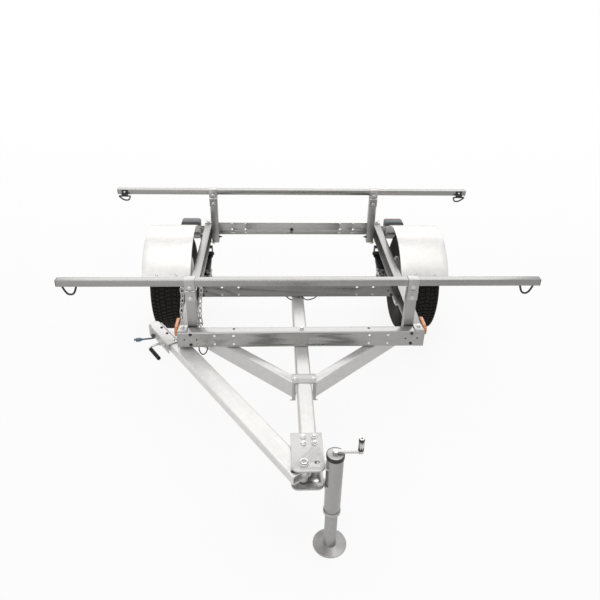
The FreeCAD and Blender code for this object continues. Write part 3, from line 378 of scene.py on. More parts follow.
def curveOf(name, points, radius, steps=6, cyclic=False, sides=5):  # a NURBS line with a round wire along it
    curve = bpy.data.curves.new(name, "CURVE")
    curve.dimensions, curve.bevel_depth, curve.bevel_resolution = "3D", radius, sides
    curve.resolution_u, curve.use_fill_caps = steps, True
    line = curve.splines.new("NURBS")
    line.points.add(len(points) - 1)
    for spot, point in zip(line.points, points):
        spot.co = (*point, 1)
    line.use_cyclic_u, line.order_u, line.use_endpoint_u = cyclic, 3, not cyclic
    return curve


def barMesh(name, points, radius, cyclic=False, sides=5):
    mesh = baked(curveOf(name + "Line", points, radius, cyclic=cyclic, sides=sides))
    mesh.name = name
    tidy(mesh, 50)
    return mesh


# copies: one small part set on many points, each point with its own turn and size
def copiesTree():
    group = bpy.data.node_groups.new("copies", "GeometryNodeTree")
    for label, way, kind in (("Geometry", "INPUT", "Geometry"), ("Part", "INPUT", "Object"),
                             ("Size", "INPUT", "Float"), ("Finish", "INPUT", "Material"),
                             ("Geometry", "OUTPUT", "Geometry")):
        group.interface.new_socket(label, in_out=way, socket_type="NodeSocket" + kind)
    tree = Nodes(group)
    given = tree.add("NodeGroupInput", {}, "Geometry")
    part = tree.add("GeometryNodeObjectInfo", {"Object": given["Part"]}, "Geometry")
    turn = tree.add("GeometryNodeInputNamedAttribute", {"Name": "turn"}, "Attribute", data_type="QUATERNION")
    size = tree.add("GeometryNodeInputNamedAttribute", {"Name": "size"}, "Attribute", data_type="FLOAT_VECTOR")
    grown = tree.add("ShaderNodeVectorMath", {0: size, "Scale": given["Size"]}, "Vector", operation="SCALE")
    spread = tree.add("GeometryNodeInstanceOnPoints", {"Points": given, "Instance": part, "Rotation": turn,
                                                       "Scale": grown})
    real = tree.add("GeometryNodeRealizeInstances", {"Geometry": spread})
    coated = tree.add("GeometryNodeSetMaterial", {"Geometry": real, "Material": given["Finish"]})
    tree.add("NodeGroupOutput", {"Geometry": coated})
    return group


copies = copiesTree()


def standing(place, way, radius, high, spin=0.0):  # a spot whose part stands on a place and points along a way
    turn = way.to_track_quat("Z", "Y") @ Matrix.Rotation(spin, 3, "Z").to_quaternion()
    return place, turn, (radius, radius, high)


def rowOf(places, way, radius, high):  # alike, but each tightened to another angle
    return [standing(place, way, radius, high, 0.35 + 1.7 * number) for number, place in enumerate(places)]


def scatter(name, part, spots, finish, node, trim=False, grown=1.0, smooth=35.0):  # spots: (place, turn, size)
    cloud = bpy.data.meshes.new(name + "Spots")
    cloud.from_pydata([tuple(place) for place, turn, size in spots], [], [])
    for label, kind in (("turn", "QUATERNION"), ("size", "FLOAT_VECTOR")):
        cloud.attributes.new(label, kind, "POINT")
    turns, sizes = cloud.attributes["turn"], cloud.attributes["size"]
    for number, (place, turn, size) in enumerate(spots):
        turns.data[number].value, sizes.data[number].vector = tuple(turn), size
    source, holder = placed(name + "Part", part), placed(name + "Holder", cloud)
    made = holder.modifiers.new("copies", "NODES")
    made.node_group = copies
    sockets = {item.name: item.identifier for item in copies.interface.items_tree if item.in_out == "INPUT"}
    made[sockets["Part"]], made[sockets["Size"]], made[sockets["Finish"]] = source, grown, finishes[finish]
    mesh = evaluated(holder)
    for item in (holder, source):
        bpy.data.objects.remove(item)
    for label in ("turn", "size"):
        if mesh.attributes.get(label):
            mesh.attributes.remove(mesh.attributes[label])
    mesh.name = name
    shaded(mesh, smooth)
    return newPiece(name, mesh, finish, node, trim)


# fastener heads, one unit in radius and one unit high, standing on z = 0: (sides, rings) of each turned part
headShapes = {
    "hex": (25, [(20, [(1.3, 0.0), (1.3, 0.16), (1.22, 0.22)]), (6, [(1.0, 0.2), (1.0, 0.82), (0.86, 1.0)])]),
    "nut": (25, [(20, [(1.3, 0.0), (1.3, 0.12), (1.22, 0.16)]), (6, [(1.0, 0.15), (1.0, 0.5), (0.88, 0.6)]),
                 (14, [(0.55, 0.4), (0.55, 0.68), (0.5, 0.7), (0.55, 0.72), (0.55, 0.8), (0.5, 0.82),
                       (0.55, 0.84), (0.55, 0.93), (0.45, 1.0)])]),
    "dome": (50, [(18, [(1.0, 0.0), (1.0, 0.12), (0.93, 0.42), (0.76, 0.7), (0.5, 0.9), (0.2, 1.0)])]),
    "hole": (30, [(20, [(1.0, 0.0), (0.98, 1.0)])]),
    "post": (30, [(16, [(0.9, 0.0), (1.0, 0.1), (1.0, 0.92), (0.88, 1.0)])]),
}
heads = {name: meshOf(name + "Head", *joined(*[turnedRings(rings, sides) for sides, rings in turned]), smooth)
         for name, (smooth, turned) in headShapes.items()}


def fasten(name, head, spots, finish, node):
    scatter(name, heads[head], spots, finish, node, trim=True)


# lead out of the folded section's open end, and the flat plug on it
lead = {"radius": 0.0035, "length": 0.1311, "turn": radians(-24.06),
        "route": [(0.0354, -0.973, 0.357), (0.0354, -0.995, 0.357), (0.048, -1.016, 0.343),
                  (0.066, -1.034, 0.328), (0.087, -1.052, 0.322), (0.1094, -1.062, 0.322)]}
plug = {"wide": 0.022, "thick": 0.012, "corners": 28, "grooves": (0.0155, 0.0212), "face": 0.0285,
        "pitch": 0.0052, "socket": (0.0024, 0.0100), "pin": (0.0016, 0.0108)}


def plugStations():  # rounded outlines (distance, half width, half thickness, squareness) along the plug
    wide, thick = plug["wide"] / 2, plug["thick"] / 2
    neck = [(0.0, 0.0046, 0.0045, 1.0), (0.0035, 0.0050, 0.0047, 1.0), (0.0050, 0.0064, 0.0050, 0.9),
            (0.0085, 0.0090, 0.0053, 0.8), (0.0120, wide - 0.0004, 0.0056, 0.6), (0.0135, wide, thick, 0.5)]
    groove = [(0.0, wide, thick), (0.0007, wide - 0.0012, 0.0050), (0.0030, wide - 0.0012, 0.0050),
              (0.0037, wide, thick)]
    grip = [(start + step, a, b, 0.5) for start in plug["grooves"] for step, a, b in groove]
    return neck + grip + [(plug["face"], wide, thick, 0.5), (plug["face"] + 0.0007, wide - 0.0010, 0.0053, 0.5)]


def lofted(name, stations, start, way, flatUp, corners):
    across = flatUp.cross(way).normalized()
    verts = []
    for distance, wide, thick, square in stations:
        for k in range(corners):
            c, s = cos(2 * pi * k / corners), sin(2 * pi * k / corners)
            verts.append(start + way * distance + across * (wide * copysign(abs(c) ** square, c)) +
                         flatUp * (thick * copysign(abs(s) ** square, s)))
    return meshOf(name, verts, capped(len(stations), corners), 50)


def makeLead():
    route = [onTongue(*point) for point in lead["route"]]
    cable = newPiece("plugLead", curveOf("plugLead", route, lead["radius"], steps=8), "wire", "plug_lead")
    way = tongueWay(cos(lead["turn"]), sin(lead["turn"]), 0)
    body = newPiece("leadPlug", lofted("leadPlug", plugStations(), route[-1], way, up, plug["corners"]), "plug",
                    "lead_plug")
    face, step = route[-1] + way * plug["face"], up.cross(way).normalized() * plug["pitch"]
    sockets = [standing(face + step * (k - 1.5), way, *plug["socket"]) for k in (0, 1, 2)]
    sleeves = scatter("plugSockets", heads["post"], sockets, "plug", "lead_plug")
    pin = scatter("plugPin", heads["post"], [standing(face + step * 1.5, way, *plug["pin"])], "brass", "lead_plug")


makeLead()
print("lead made")


def pairs(x, y, *heights):
    return [atBar(side * x, y, z) for z in heights for side in (-1, 1)]


# bolts of the frame: webs are the channels' faces, fronts the two load bars' front faces
fixing = {"frontWeb": -0.0482, "middleWeb": 0.3698, "rearWeb": 1.1722, "rearWebInner": 1.1688, "x": 0.465,
          "rows": (0.450, 0.400), "innerScrew": (0.440, 0.425), "outerScrew": (0.491, 0.426), "postX": 0.4585,
          "fronts": (0.0, 1.077), "ringX": 0.9505, "ringZ": 0.666, "fenderX": (0.6045, 0.702),
          "fenderLean": radians(55.9), "fenderRadius": 0.3102, "clampX": (0.465, 0.521),
          "clampY": (0.7483, 0.7957), "clampZ": 0.3141,
          "post": [(-0.0034, 0.647, front, 0.0065), (0.0355, 0.647, back, 0.0085),
                   (-0.0031, 0.5975, front, 0.0065)]}
# bright rods along the lower edge of each bar strap, put there to paint an edge highlight
highlightRod = {"x": 0.45845, "half": 0.0205, "z": 0.6300, "radius": 0.0027, "long": 0.041, "y": (-0.0022, 0.0342)}


def screws(y):
    (innerX, innerZ), (outerX, outerZ) = fixing["innerScrew"], fixing["outerScrew"]
    return pairs(outerX, y, outerZ) + pairs(innerX, y, innerZ)


def postBolts():
    return [standing(atBar(side * fixing["postX"], start + y, z), way, 0.0075, high, 0.35)
            for side in (-1, 1) for start in fixing["fronts"] for y, z, way, high in fixing["post"]]


def fenderBolts():  # through the fender into its stays
    spots = []
    for x in fixing["fenderX"]:
        for lean in (-fixing["fenderLean"], fixing["fenderLean"]):
            way = Vector((0, sin(lean), cos(lean)))
            spot = Vector((0, axle["y"], axle["z"])) + way * fixing["fenderRadius"]
            spots += [standing(atBar(x * side, spot.y, spot.z), way, 0.0062, 0.003) for side in (-1, 1)]
    return spots


fasten("darkHexBolts", "hex", [
    *rowOf(pairs(fixing["x"], fixing["frontWeb"], *fixing["rows"]), front, 0.0054, 0.0055),
    *rowOf(pairs(0.457, fixing["middleWeb"], 0.399), front, 0.0060, 0.0055),
    *rowOf(pairs(fixing["x"], fixing["rearWeb"], *fixing["rows"]), back, 0.0088, 0.0075),
    *rowOf([atBar(-0.007, fixing["rearWebInner"], z) for z in fixing["rows"]], front, 0.008, 0.006)],
    "darkBolt", "crossmember_front")
fasten("darkScrews", "dome", [
    *rowOf(screws(fixing["frontWeb"]), front, 0.0036, 0.0022),
    *rowOf(pairs(0.439, fixing["middleWeb"], 0.422), front, 0.0042, 0.0022),
    *rowOf(screws(fixing["rearWeb"]), back, 0.0045, 0.0025)], "darkBolt", "crossmember_front")
# near-black discs painted as the shade inside bolt holes
fasten("openHoles", "hole", [
    *rowOf(pairs(0.458, fixing["middleWeb"] + 0.0002, 0.443), front, 0.0045, 0.0004),
    *rowOf(pairs(0.285, -0.020, 0.4600), up, 0.0055, 0.0004)], "shade", "crossmember_middle")
fasten("zincHexBolts", "hex", [
    *rowOf([atBar(0, -0.020, 0.4601)], up, 0.0088, 0.0075),
    *rowOf([atBar(0, 0.390, 0.4569)], up, 0.0075, 0.006),
    *rowOf(pairs(0.5, -0.010, 0.4631) + pairs(0.5, 1.134, 0.4631), up, 0.0085, 0.0075),
    *rowOf(pairs(0.0365, -0.270, 0.3881), up, 0.0075, 0.006), *postBolts()], "bright", "posts")
fasten("domeBolts", "dome", [
    *rowOf(pairs(fixing["ringX"], 0.0355, fixing["ringZ"]), back, 0.0065, 0.0035),
    *rowOf(pairs(fixing["ringX"], 1.0735, fixing["ringZ"]), front, 0.0065, 0.0035), *fenderBolts()],
    "bright", "load_bar_front")
# painted highlight: a bright plated rod under each strap's edge
fasten("strapLips", "post", [
    standing(atBar(side * highlightRod["x"] - highlightRod["half"], start + y, highlightRod["z"]), rightWay,
             highlightRod["radius"], highlightRod["long"])
    for side in (-1, 1) for start in fixing["fronts"] for y in highlightRod["y"]], "bright", "bar_straps")
fasten("clampNuts", "nut", rowOf([atBar(side * x, y, fixing["clampZ"]) for side in (-1, 1)
                                  for x in fixing["clampX"] for y in fixing["clampY"]], up, 0.0080, 0.0125),
       "bright", "axle_clamps")
print("bolts set")

# wheels: everything is drawn about the wheel's own middle, x outward, then carried to its side
wheel = {"steps": 96, "lugs": 5, "lugRing": 0.0455, "lugFoot": 0.0268, "lugSize": (0.0088, 0.016)}


def aboutWheel(profile, steps, closed=False):  # (x, radius) points turned about the axle
    verts = []
    for step in range(steps):
        angle = 2 * pi * step / steps
        verts += [(x, r * sin(angle), r * cos(angle)) for x, r in profile]
    return verts, quads(steps, len(profile), True, closed)


def wheelMiddle(side):
    return atBar(side * axle["x"], axle["y"], axle["z"])


def toSide(mesh, side):
    mesh.transform(Matrix.Translation(wheelMiddle(side)) @ Matrix.Diagonal((side, 1, 1, 1)))
    if side < 0:
        mesh.flip_normals()
    return mesh


sidewall = [(0.0700, 0.1340), (0.0770, 0.1385), (0.0800, 0.1450), (0.0862, 0.1530), (0.0868, 0.1565),
            (0.0908, 0.1640), (0.0945, 0.1750), (0.0952, 0.1775), (0.0980, 0.1850), (0.0994, 0.1960),
            (0.0988, 0.2080), (0.0978, 0.2190), (0.0980, 0.2215), (0.0965, 0.2300), (0.0940, 0.2385),
            (0.0905, 0.2440), (0.0850, 0.2485), (0.0760, 0.2512), (0.0500, 0.2528), (0.0250, 0.2533)]
carcass = sidewall + [(0.0, 0.2534)] + [(-x, r) for x, r in reversed(sidewall)]

# tread: rows of slanted blocks (from x, to x, start, length and slant in pitches, radius at the foot)
tread = {"pitches": 72, "top": 0.2598, "edge": 0.0012, "crown": 0.25, "shares": (1.0, 0.94, 0.84),
         "middle": (-0.0135, 0.0135, 0.0, 0.74, 0.30, 0.2520),
         "outer": [(0.0185, 0.0425, 0.45, 0.74, -0.28, 0.2520), (0.0475, 0.0640, 0.10, 0.74, 0.15, 0.2520),
                   (0.0675, 0.0870, 0.35, 0.66, 0.0, 0.2500)]}


def treadBlock(corners, foot):  # corners as (x, angle) at the foot; the top is drawn in a little
    middle = [sum(value) / 4 for value in zip(*corners)]
    verts = []
    for share, level in zip(tread["shares"], (foot, tread["top"] - tread["edge"], tread["top"])):
        for x, angle in corners:
            x, angle = middle[0] + (x - middle[0]) * share, middle[1] + (angle - middle[1]) * share
            crown = level - tread["crown"] * x * x
            verts.append((x, crown * sin(angle), crown * cos(angle)))
    faces = [(a + k, a + (k + 1) % 4, a + 4 + (k + 1) % 4, a + 4 + k) for a in (0, 4) for k in range(4)]
    return verts, faces + [(8, 9, 10, 11)]


def treadPitch():
    pitch = 2 * pi / tread["pitches"]
    rows = [tread["middle"]]
    for low, high, begin, long, slant, foot in tread["outer"]:
        rows += [(low, high, begin, long, slant, foot), (-high, -low, begin, long, -slant, foot)]
    blocks = []
    for low, high, begin, long, slant, foot in rows:
        corners = [(low, begin), (high, begin + slant), (high, begin + slant + long), (low, begin + long)]
        blocks.append(treadBlock([(x, pitch * turn) for x, turn in corners], foot))
    return meshOf("treadPitch", *joined(*blocks), 30)


rimEdge = [(0.0800, 0.1405), (0.0822, 0.1385), (0.0815, 0.1350), (0.0775, 0.1325), (0.0700, 0.1312)]
rimSheet = [*rimEdge, (0.0600, 0.1295), (0.0520, 0.1190), (0.0400, 0.1150), (-0.0100, 0.1150),
            (-0.0250, 0.1190), (-0.0350, 0.1295), *[(-x, r) for x, r in reversed(rimEdge)]]
discSheet = [(0.0230, 0.1150), (0.0330, 0.1130), (0.0400, 0.1080), (0.0440, 0.0980), (0.0440, 0.0880),
             (0.0400, 0.0780), (0.0320, 0.0680), (0.0262, 0.0620), (0.0250, 0.0560), (0.0250, 0.0340),
             (0.0262, 0.0325)]
hubFront = [(0.0262, 0.0322), (0.0300, 0.0322), (0.0308, 0.0310), (0.0312, 0.0262), (0.0540, 0.0258),
            (0.0590, 0.0235), (0.0612, 0.0180), (0.0618, 0.0100), (0.0620, 0.0010)]
hubBack = [(-0.0450, 0.0150), (-0.0450, 0.0300), (-0.0440, 0.0325), (0.0060, 0.0330), (0.0100, 0.0380),
           (0.0108, 0.0575), (0.0120, 0.0580), (0.0212, 0.0580), (0.0216, 0.0570), (0.0216, 0.0300)]


def lugSpots(side):
    spots = []
    for lug in range(wheel["lugs"]):
        angle = 2 * pi * (lug + 0.3) / wheel["lugs"]
        foot = Vector((side * wheel["lugFoot"], wheel["lugRing"] * sin(angle), wheel["lugRing"] * cos(angle)))
        spots.append(standing(wheelMiddle(side) + foot, rightWay * side, *wheel["lugSize"], 0.2))
    return spots


def makeWheel(side):
    tag = "Right" if side > 0 else "Left"
    tyre, rim, hub = ("%s_%s" % (part, tag.lower()) for part in ("tyre", "rim", "hub"))
    shell = meshOf("tyreBody", *aboutWheel(carcass, wheel["steps"], closed=True), 40)
    newPiece("tyre" + tag, toSide(shell, side), "rubber", tyre)
    turns = [Matrix.Rotation(2 * pi * k / tread["pitches"], 3, "X").to_quaternion()
             for k in range(tread["pitches"])]
    scatter("tyre%sTread" % tag, treadPitch(), [(wheelMiddle(side), turn, (1, 1, 1)) for turn in turns],
            "rubber", tyre, smooth=30)
    for name, profile, thick in (("rimBarrel", rimSheet, 0.0026), ("rimDisc", discSheet, 0.0030)):
        mesh = baked(meshOf(name, *aboutWheel(profile, wheel["steps"]), 180),
                     ("SOLIDIFY", {"thickness": thick, "offset": 0.0}))
        tidy(mesh, 40)
        newPiece(name + tag, toSide(mesh, side), "rim", rim)
    for name, profile, steps, finish in (("hubCap", hubFront, 40, "bright"), ("hubDrum", hubBack, 48, "zinc")):
        newPiece(name + tag, toSide(meshOf(name, *aboutWheel(profile, steps), 30), side), finish, hub)
    scatter("lugNuts" + tag, heads["nut"], lugSpots(side), "bright", hub)


for side in (-1, 1):
    makeWheel(side)
print("wheels made")

# fenders: half-round sheets with a rolled bead along both edges
fender = {"in": 0.531, "out": 0.775, "radius": 0.310, "bead": 0.0042, "sheet": 0.0016, "steps": 64,
          "half": radians(62.72), "curl": [radians(angle) for angle in range(90, -191, -28)], "flat": 8}


def fenderMesh(side):
    bead, radius, left, right = fender["bead"], fender["radius"], fender["in"], fender["out"]
    outer = [(right - bead + bead * cos(a), radius - bead + bead * sin(a)) for a in fender["curl"]]
    inner = [(left + bead - bead * cos(a), radius - bead + bead * sin(a)) for a in fender["curl"]]
    skin = [(left + bead + (right - left - 2 * bead) * k / fender["flat"], radius)
            for k in range(1, fender["flat"])]
    profile = list(reversed(inner)) + skin + outer
    verts = []
    for step in range(fender["steps"] + 1):
        angle = fender["half"] * (2 * step / fender["steps"] - 1)
        verts += [atBar(side * x, axle["y"] + r * sin(angle), axle["z"] + r * cos(angle))
                  for x, r in profile]
    mesh = meshOf("fender", verts, quads(fender["steps"] + 1, len(profile), rowCloses=False), 180)
    if max(mesh.polygons, key=lambda face: face.center.z).normal.z < 0:
        mesh.flip_normals()
    return baked(mesh, ("SOLIDIFY", {"thickness": fender["sheet"], "offset": -1.0}))


newPiece("fenderSheets", merged("fenderSheets", [fenderMesh(side) for side in (-1, 1)]), "fender", "fenders")
print("fenders made")

# tie loops: D rings in their tabs; the rear pair rests leaning back
ring = {"half": 0.0255, "wire": 0.0042, "x": 0.9520, "z": 0.6445, "frontY": 0.039, "rearY": 1.070,
        "rearLean": radians(42), "bar": [(-0.90, 0), (-0.3, 0), (0.3, 0), (0.90, 0)], "foot": (0, -1.94),
        "flank": [(1.10, 0), (1.17, -0.12), (1.12, -0.40), (0.95, -0.90), (0.72, -1.45), (0.40, -1.86)]}


def dRing(x, y, lean):
    away, down = sin(lean) * ring["half"], cos(lean) * ring["half"]
    shape = [*ring["bar"], *ring["flank"], ring["foot"], *[(-a, b) for a, b in reversed(ring["flank"])]]
    points = [atBar(x + a * ring["half"], y - b * away, ring["z"] + b * down) for a, b in shape]
    return barMesh("dRing", points, ring["wire"], cyclic=True)


newPiece("tieRings", merged("tieRings", [dRing(side * ring["x"], y, lean) for side in (-1, 1) for y, lean in
                                         ((ring["frontY"], 0.0), (ring["rearY"], ring["rearLean"]))]),
         "black", "tie_loops")

# safety chain: the same joints as in the part's source, each link a bent wire
chain = {"pitch": 0.0244, "slack": 0.0012, "wide": 0.0134, "wire": 0.0023, "y": 0.0475, "level": 0.6365,
         "post": 0.45845, "hanging": 7, "lean": 45,
         "left": [(-0.499, 0.6205), (-0.498, 0.598), (-0.500, 0.561), (-0.507, 0.518), (-0.510, 0.484),
                  (-0.511, 0.462)],
         "right": [(-0.418, 0.6205), (-0.420, 0.598), (-0.425, 0.562), (-0.429, 0.530), (-0.431, 0.500),
                   (-0.431, 0.462)]}
hook = {"pitch": 0.026, "wide": 0.020, "wire": 0.0026, "bend": 0.008, "turns": range(-50, 231, 40),
        "shank": [(-0.0012, -0.0145), (0, -0.019), (0, -0.027), (0.001, -0.033), (0.0045, -0.0365),
                  (0.0095, -0.038), (0.0145, -0.036), (0.0172, -0.031), (0.018, -0.027), (0.021, -0.022)]}


def linkMesh(pitch, wide, wire, sides=8):
    halfLong, halfWide = (pitch + chain["slack"]) / 2 + wire, wide / 2
    straight = halfLong - halfWide
    arc = [(straight + halfWide * cos(a), halfWide * sin(a)) for a in
           [radians(90 - 22.5 * k) for k in range(9)]]
    loop = arc + [(-a, -b) for a, b in arc]
    verts = []
    for number, (a, b) in enumerate(loop):
        run = (Vector(loop[(number + 1) % len(loop)]) - Vector(loop[number - 1])).normalized()
        for side in range(sides):
            angle = 2 * pi * side / sides
            reach = wire * cos(angle)
            verts.append((wire * sin(angle), b - run.x * reach, a + run.y * reach))
    return meshOf("link", verts, quads(len(loop), sides, True), 60)


def walked(route, distance):
    for (x0, z0), (x1, z1) in zip(route, route[1:]):
        run = hypot(x1 - x0, z1 - z0)
        if distance <= run:
            return x0 + (x1 - x0) * distance / run, z0 + (z1 - z0) * distance / run
        distance -= run


def linkSpot(start, end, lean):  # a link between two joints, leaning about its own length
    ahead = (end - start).normalized()
    side = Matrix.Rotation(radians(lean), 3, ahead) @ ahead.cross(back).normalized()
    turn = Matrix((side.cross(ahead), side, ahead)).transposed().to_quaternion()
    return (start + end) / 2, turn, (1, 1, 1)


def makeChain():
    top = [(chain["pitch"] * k - chain["post"], chain["level"]) for k in (-1, 0, 1)]
    steps = range(1, chain["hanging"] + 1)
    flat = [walked([top[0]] + chain["left"], chain["pitch"] * k) for k in reversed(steps)] + top
    flat += [walked([top[-1]] + chain["right"], chain["pitch"] * k) for k in steps]
    joints = [atBar(x, chain["y"], z) for x, z in flat]
    spots = [linkSpot(a, b, chain["lean"] if number % 2 else -chain["lean"])
             for number, (a, b) in enumerate(zip(joints, joints[1:]))]
    scatter("chainLinks", linkMesh(chain["pitch"], chain["wide"], chain["wire"]), spots, "bright", "safety_chain")
    eye = joints[-1] - up * hook["pitch"]
    scatter("chainEndLink", linkMesh(hook["pitch"], hook["wide"], hook["wire"]),
            [linkSpot(joints[-1], eye, chain["lean"])], "bright", "chain_hook")
    level = hook["wire"] + chain["slack"] / 4 - hook["bend"]
    bend = [(hook["bend"] * cos(a), level + hook["bend"] * sin(a)) for a in
            [radians(turn) for turn in hook["turns"]]]
    line = [eye + Vector((a, 0, b)) for a, b in bend + hook["shank"]]
    newPiece("chainHook", barMesh("chainHook", line, hook["wire"]), "bright", "chain_hook")


makeChain()
print("chain made")

# sheet and bar parts keep the node's shape, with eased edges: finish and width of the easing
easing = {"merge": 2e-6, "flat": radians(1.0), "corner": radians(40), "smooth": 32}
rearFoot = {"behind": 0.5, "below": 0.39, "drop": 0.030}  # the rear posts reach below the rails
sheetParts = {
    "crossmember_front": ("zincAcross", 0.0012), "crossmember_middle": ("zincMiddlePaintedShade", 0.0012),
    "crossmember_rear": ("zincRearPaintedLight", 0.0012), "side_rails": ("zincLong", 0.0012),
    "corner_plates": ("zinc", 0.0008), "tongue_fixed": ("zincTonguePaintedLight", 0.0012),
    "tongue_braces": ("zincBracePaintedLight", 0.0012), "brace_cap": ("zinc", 0.0008), "posts": ("zincPost", 0.0012),
    "post_brackets": ("zinc", 0.001), "bar_straps": ("zinc", 0.001), "load_bar_front": ("zincBarPaintedShade", 0.0024),
    "load_bar_rear": ("zincBarPaintedShade", 0.0024), "bar_end_caps": ("black", 0.0014),
    "axle_beam": ("zincAcross", 0.0016), "axle_clamps": ("zinc", 0.001), "spring_hangers": ("black", 0.0008),
    "leaf_springs": ("black", 0.0006), "fender_brackets": ("zinc", 0.0008), "lamp_brackets": ("zinc", 0.0006),
    "hinge_plates": ("zinc", 0.001), "hinge_pin": ("bright", 0.0008), "tongue_front": ("zincFoldPaintedLight", 0.0012),
    "coupler": ("coupler", 0.0014), "jack_tube": ("zincPost", 0.0008), "jack_clamp": ("zinc", 0.001),
    "jack_crank": ("bright", 0.0008), "jack_leg": ("zincPost", 0.001), "loop_tabs": ("black", 0.0007),
    "tail_lamps": ("lamp", 0.0012), "lamp_lenses": ("red", 0.0014), "side_markers": ("amber", 0.0014),
}


def softened(node, finish, width):
    source = frame["nodes"][node].data.copy()
    work = bmesh.new()
    work.from_mesh(source)
    bmesh.ops.remove_doubles(work, verts=work.verts, dist=easing["merge"])
    bmesh.ops.dissolve_limit(work, angle_limit=easing["flat"], verts=work.verts, edges=work.edges)
    for vert in work.verts if node == "posts" else ():
        if vert.co.y > rearFoot["behind"] and vert.co.z < rearFoot["below"]:
            vert.co.z -= rearFoot["drop"]
    work.to_mesh(source)
    work.free()
    eased = baked(source, ("BEVEL", {"width": width, "segments": 2, "limit_method": "ANGLE",
                                     "angle_limit": easing["corner"], "use_clamp_overlap": True,
                                     "harden_normals": False}))
    eased.name = node + "Soft"
    shaded(eased, easing["smooth"])
    newPiece(node + "Soft", eased, finish, node)


for node, (finish, width) in sheetParts.items():
    softened(node, finish, width)
print("sheet parts eased")

# lift handle on the folded section: a bent rod and a ribbed grip
handle = {"rod": 0.005, "z": 0.328, "start": 0.0314, "across": 0.1144, "y": -0.980, "bend": 0.030,
          "gripStart": -0.965, "gripEnd": -0.876, "gripRadius": 0.0085, "ribs": 15, "ribDeep": 0.0009,
          "ribsFrom": 0.006, "plain": 0.014}


def makeHandle():
    h = handle
    path = [(h["start"], h["y"]), (h["across"] - h["bend"], h["y"]), (h["across"], h["y"]),
            (h["across"], h["y"] + h["bend"]), (h["across"], h["gripEnd"] - 0.004)]
    rod = barMesh("liftHandle", [onTongue(a, b, h["z"]) for a, b in path], h["rod"])
    newPiece("liftHandle", rod, "bright", "lift_handle")
    long, wide, thin = h["gripEnd"] - h["gripStart"], h["gripRadius"], h["gripRadius"] - h["ribDeep"]
    step = (long - h["plain"]) / h["ribs"]
    rings = [(0.0055, 0.0), (0.0078, 0.0006), (wide, 0.0022)]
    for rib in range(h["ribs"]):
        low = h["ribsFrom"] + step * rib
        rings += [(wide, low), (thin, low + 0.2 * step), (thin, low + 0.5 * step), (wide, low + 0.7 * step)]
    rings += [(wide, long - 0.006), (0.0080, long - 0.0018), (0.0060, long)]
    grip = pointed(meshOf("handleGrip", *turnedRings(rings, 28), 45),
                   onTongue(h["across"], h["gripStart"], h["z"]), tongueWay(0, 1, 0))
    newPiece("handleGrip", grip, "grip", "handle_grip")


makeHandle()

# coupler: bolts on top, nuts at the side, a ribbed latch knob
coupler = {"boltX": 0.0334, "top": 0.3813, "darkY": (-1.017, -0.961), "lightY": (-0.896,), "sideX": 0.0685,
           "sideY": (-0.985, -0.915), "sideZ": 0.357, "knob": (0.0686, -1.030, 0.345),
           "knobRings": [(0.0040, 0.0), (0.0062, 0.0008), (0.0066, 0.0020), (0.0086, 0.0026), (0.0090, 0.0036),
                         (0.0090, 0.0078), (0.0084, 0.0092), (0.0060, 0.0100), (0.0030, 0.0100),
                         (0.0026, 0.0092)]}
for name, places, finish in (("couplerBoltsDark", coupler["darkY"], "darkBolt"),
                             ("couplerBoltLight", coupler["lightY"], "bright")):
    fasten(name, "dome", [standing(onTongue(coupler["boltX"], y, coupler["top"]), up, 0.0062, 0.0045, 0.3)
                          for y in places], finish, "coupler")
fasten("couplerSideNuts", "nut", [standing(onTongue(coupler["sideX"], y, coupler["sideZ"]),
                                           tongueWay(1, 0, 0), 0.0065, 0.009, 0.2) for y in coupler["sideY"]],
       "bright", "coupler")
newPiece("latchKnob", pointed(meshOf("latchKnob", *turnedRings(coupler["knobRings"], 28), 40),
                              onTongue(*coupler["knob"]), tongueWay(1, 0, 0)), "knob", "coupler_latch")

# hinge and spring fasteners
plate = {"x": (-0.019, 0.019), "y": (-0.815, -0.785), "top": 0.3911, "under": 0.3029, "pinTop": 0.3905}
spring = {"x": 0.493, "ends": (0.587, 0.957), "eye": 0.3410, "boltOut": 0.0276, "middle": 0.3141}


def plateSpots(z, way, high):
    return [standing(Vector((x, y, z)), way, 0.0085, high, 0.3 + 9 * x) for x in plate["x"] for y in plate["y"]]


fasten("hingeHeads", "hex", [standing(hinge["place"] + up * plate["pinTop"], up, 0.0125, 0.0085, 0.4),
                             *plateSpots(plate["top"], up, 0.0070)], "bright", "hinge_plates")
fasten("hingeNuts", "nut", plateSpots(plate["under"], -up, 0.0110), "bright", "hinge_plates")
fasten("hangerBolts", "hex", [
    standing(atBar(side * spring["x"] + way * spring["boltOut"], y, spring["eye"]), rightWay * way,
             0.0092, 0.0068, 0.4 + y)
    for side in (-1, 1) for y in spring["ends"] for way in (-1, 1)], "darkBolt", "spring_hangers")
fasten("springCentreBolts", "hex", [
    standing(place, up, 0.0068, 0.0060, 0.1) for place in pairs(spring["x"], axle["y"], spring["middle"])],
    "darkBolt", "axle_clamps")

# jack: a cap and a collar on the tube, and the crank's knob
jack = {"x": 0.078, "y": -0.722 + barShift, "radius": 0.028, "sheet": 0.0006, "knobOut": 0.080,
        "cap": [(-0.002, 0.4395), (0.0014, 0.4400), (0.0020, 0.4380), (0.0020, 0.4260), (0.0012, 0.4250),
                (-0.0005, 0.4250)],
        "collar": [(-0.0005, 0.1850), (0.0016, 0.1845), (0.0020, 0.1830), (0.0020, 0.1720), (0.0010, 0.1702),
                   (-0.0030, 0.1702)],
        "knob": [(0.0066, 0.4545), (0.0096, 0.4550), (0.0100, 0.4570), (0.0094, 0.4640), (0.0088, 0.4760),
                 (0.0092, 0.4900), (0.0100, 0.5000), (0.0098, 0.5040), (0.0080, 0.5058), (0.0030, 0.5060)]}


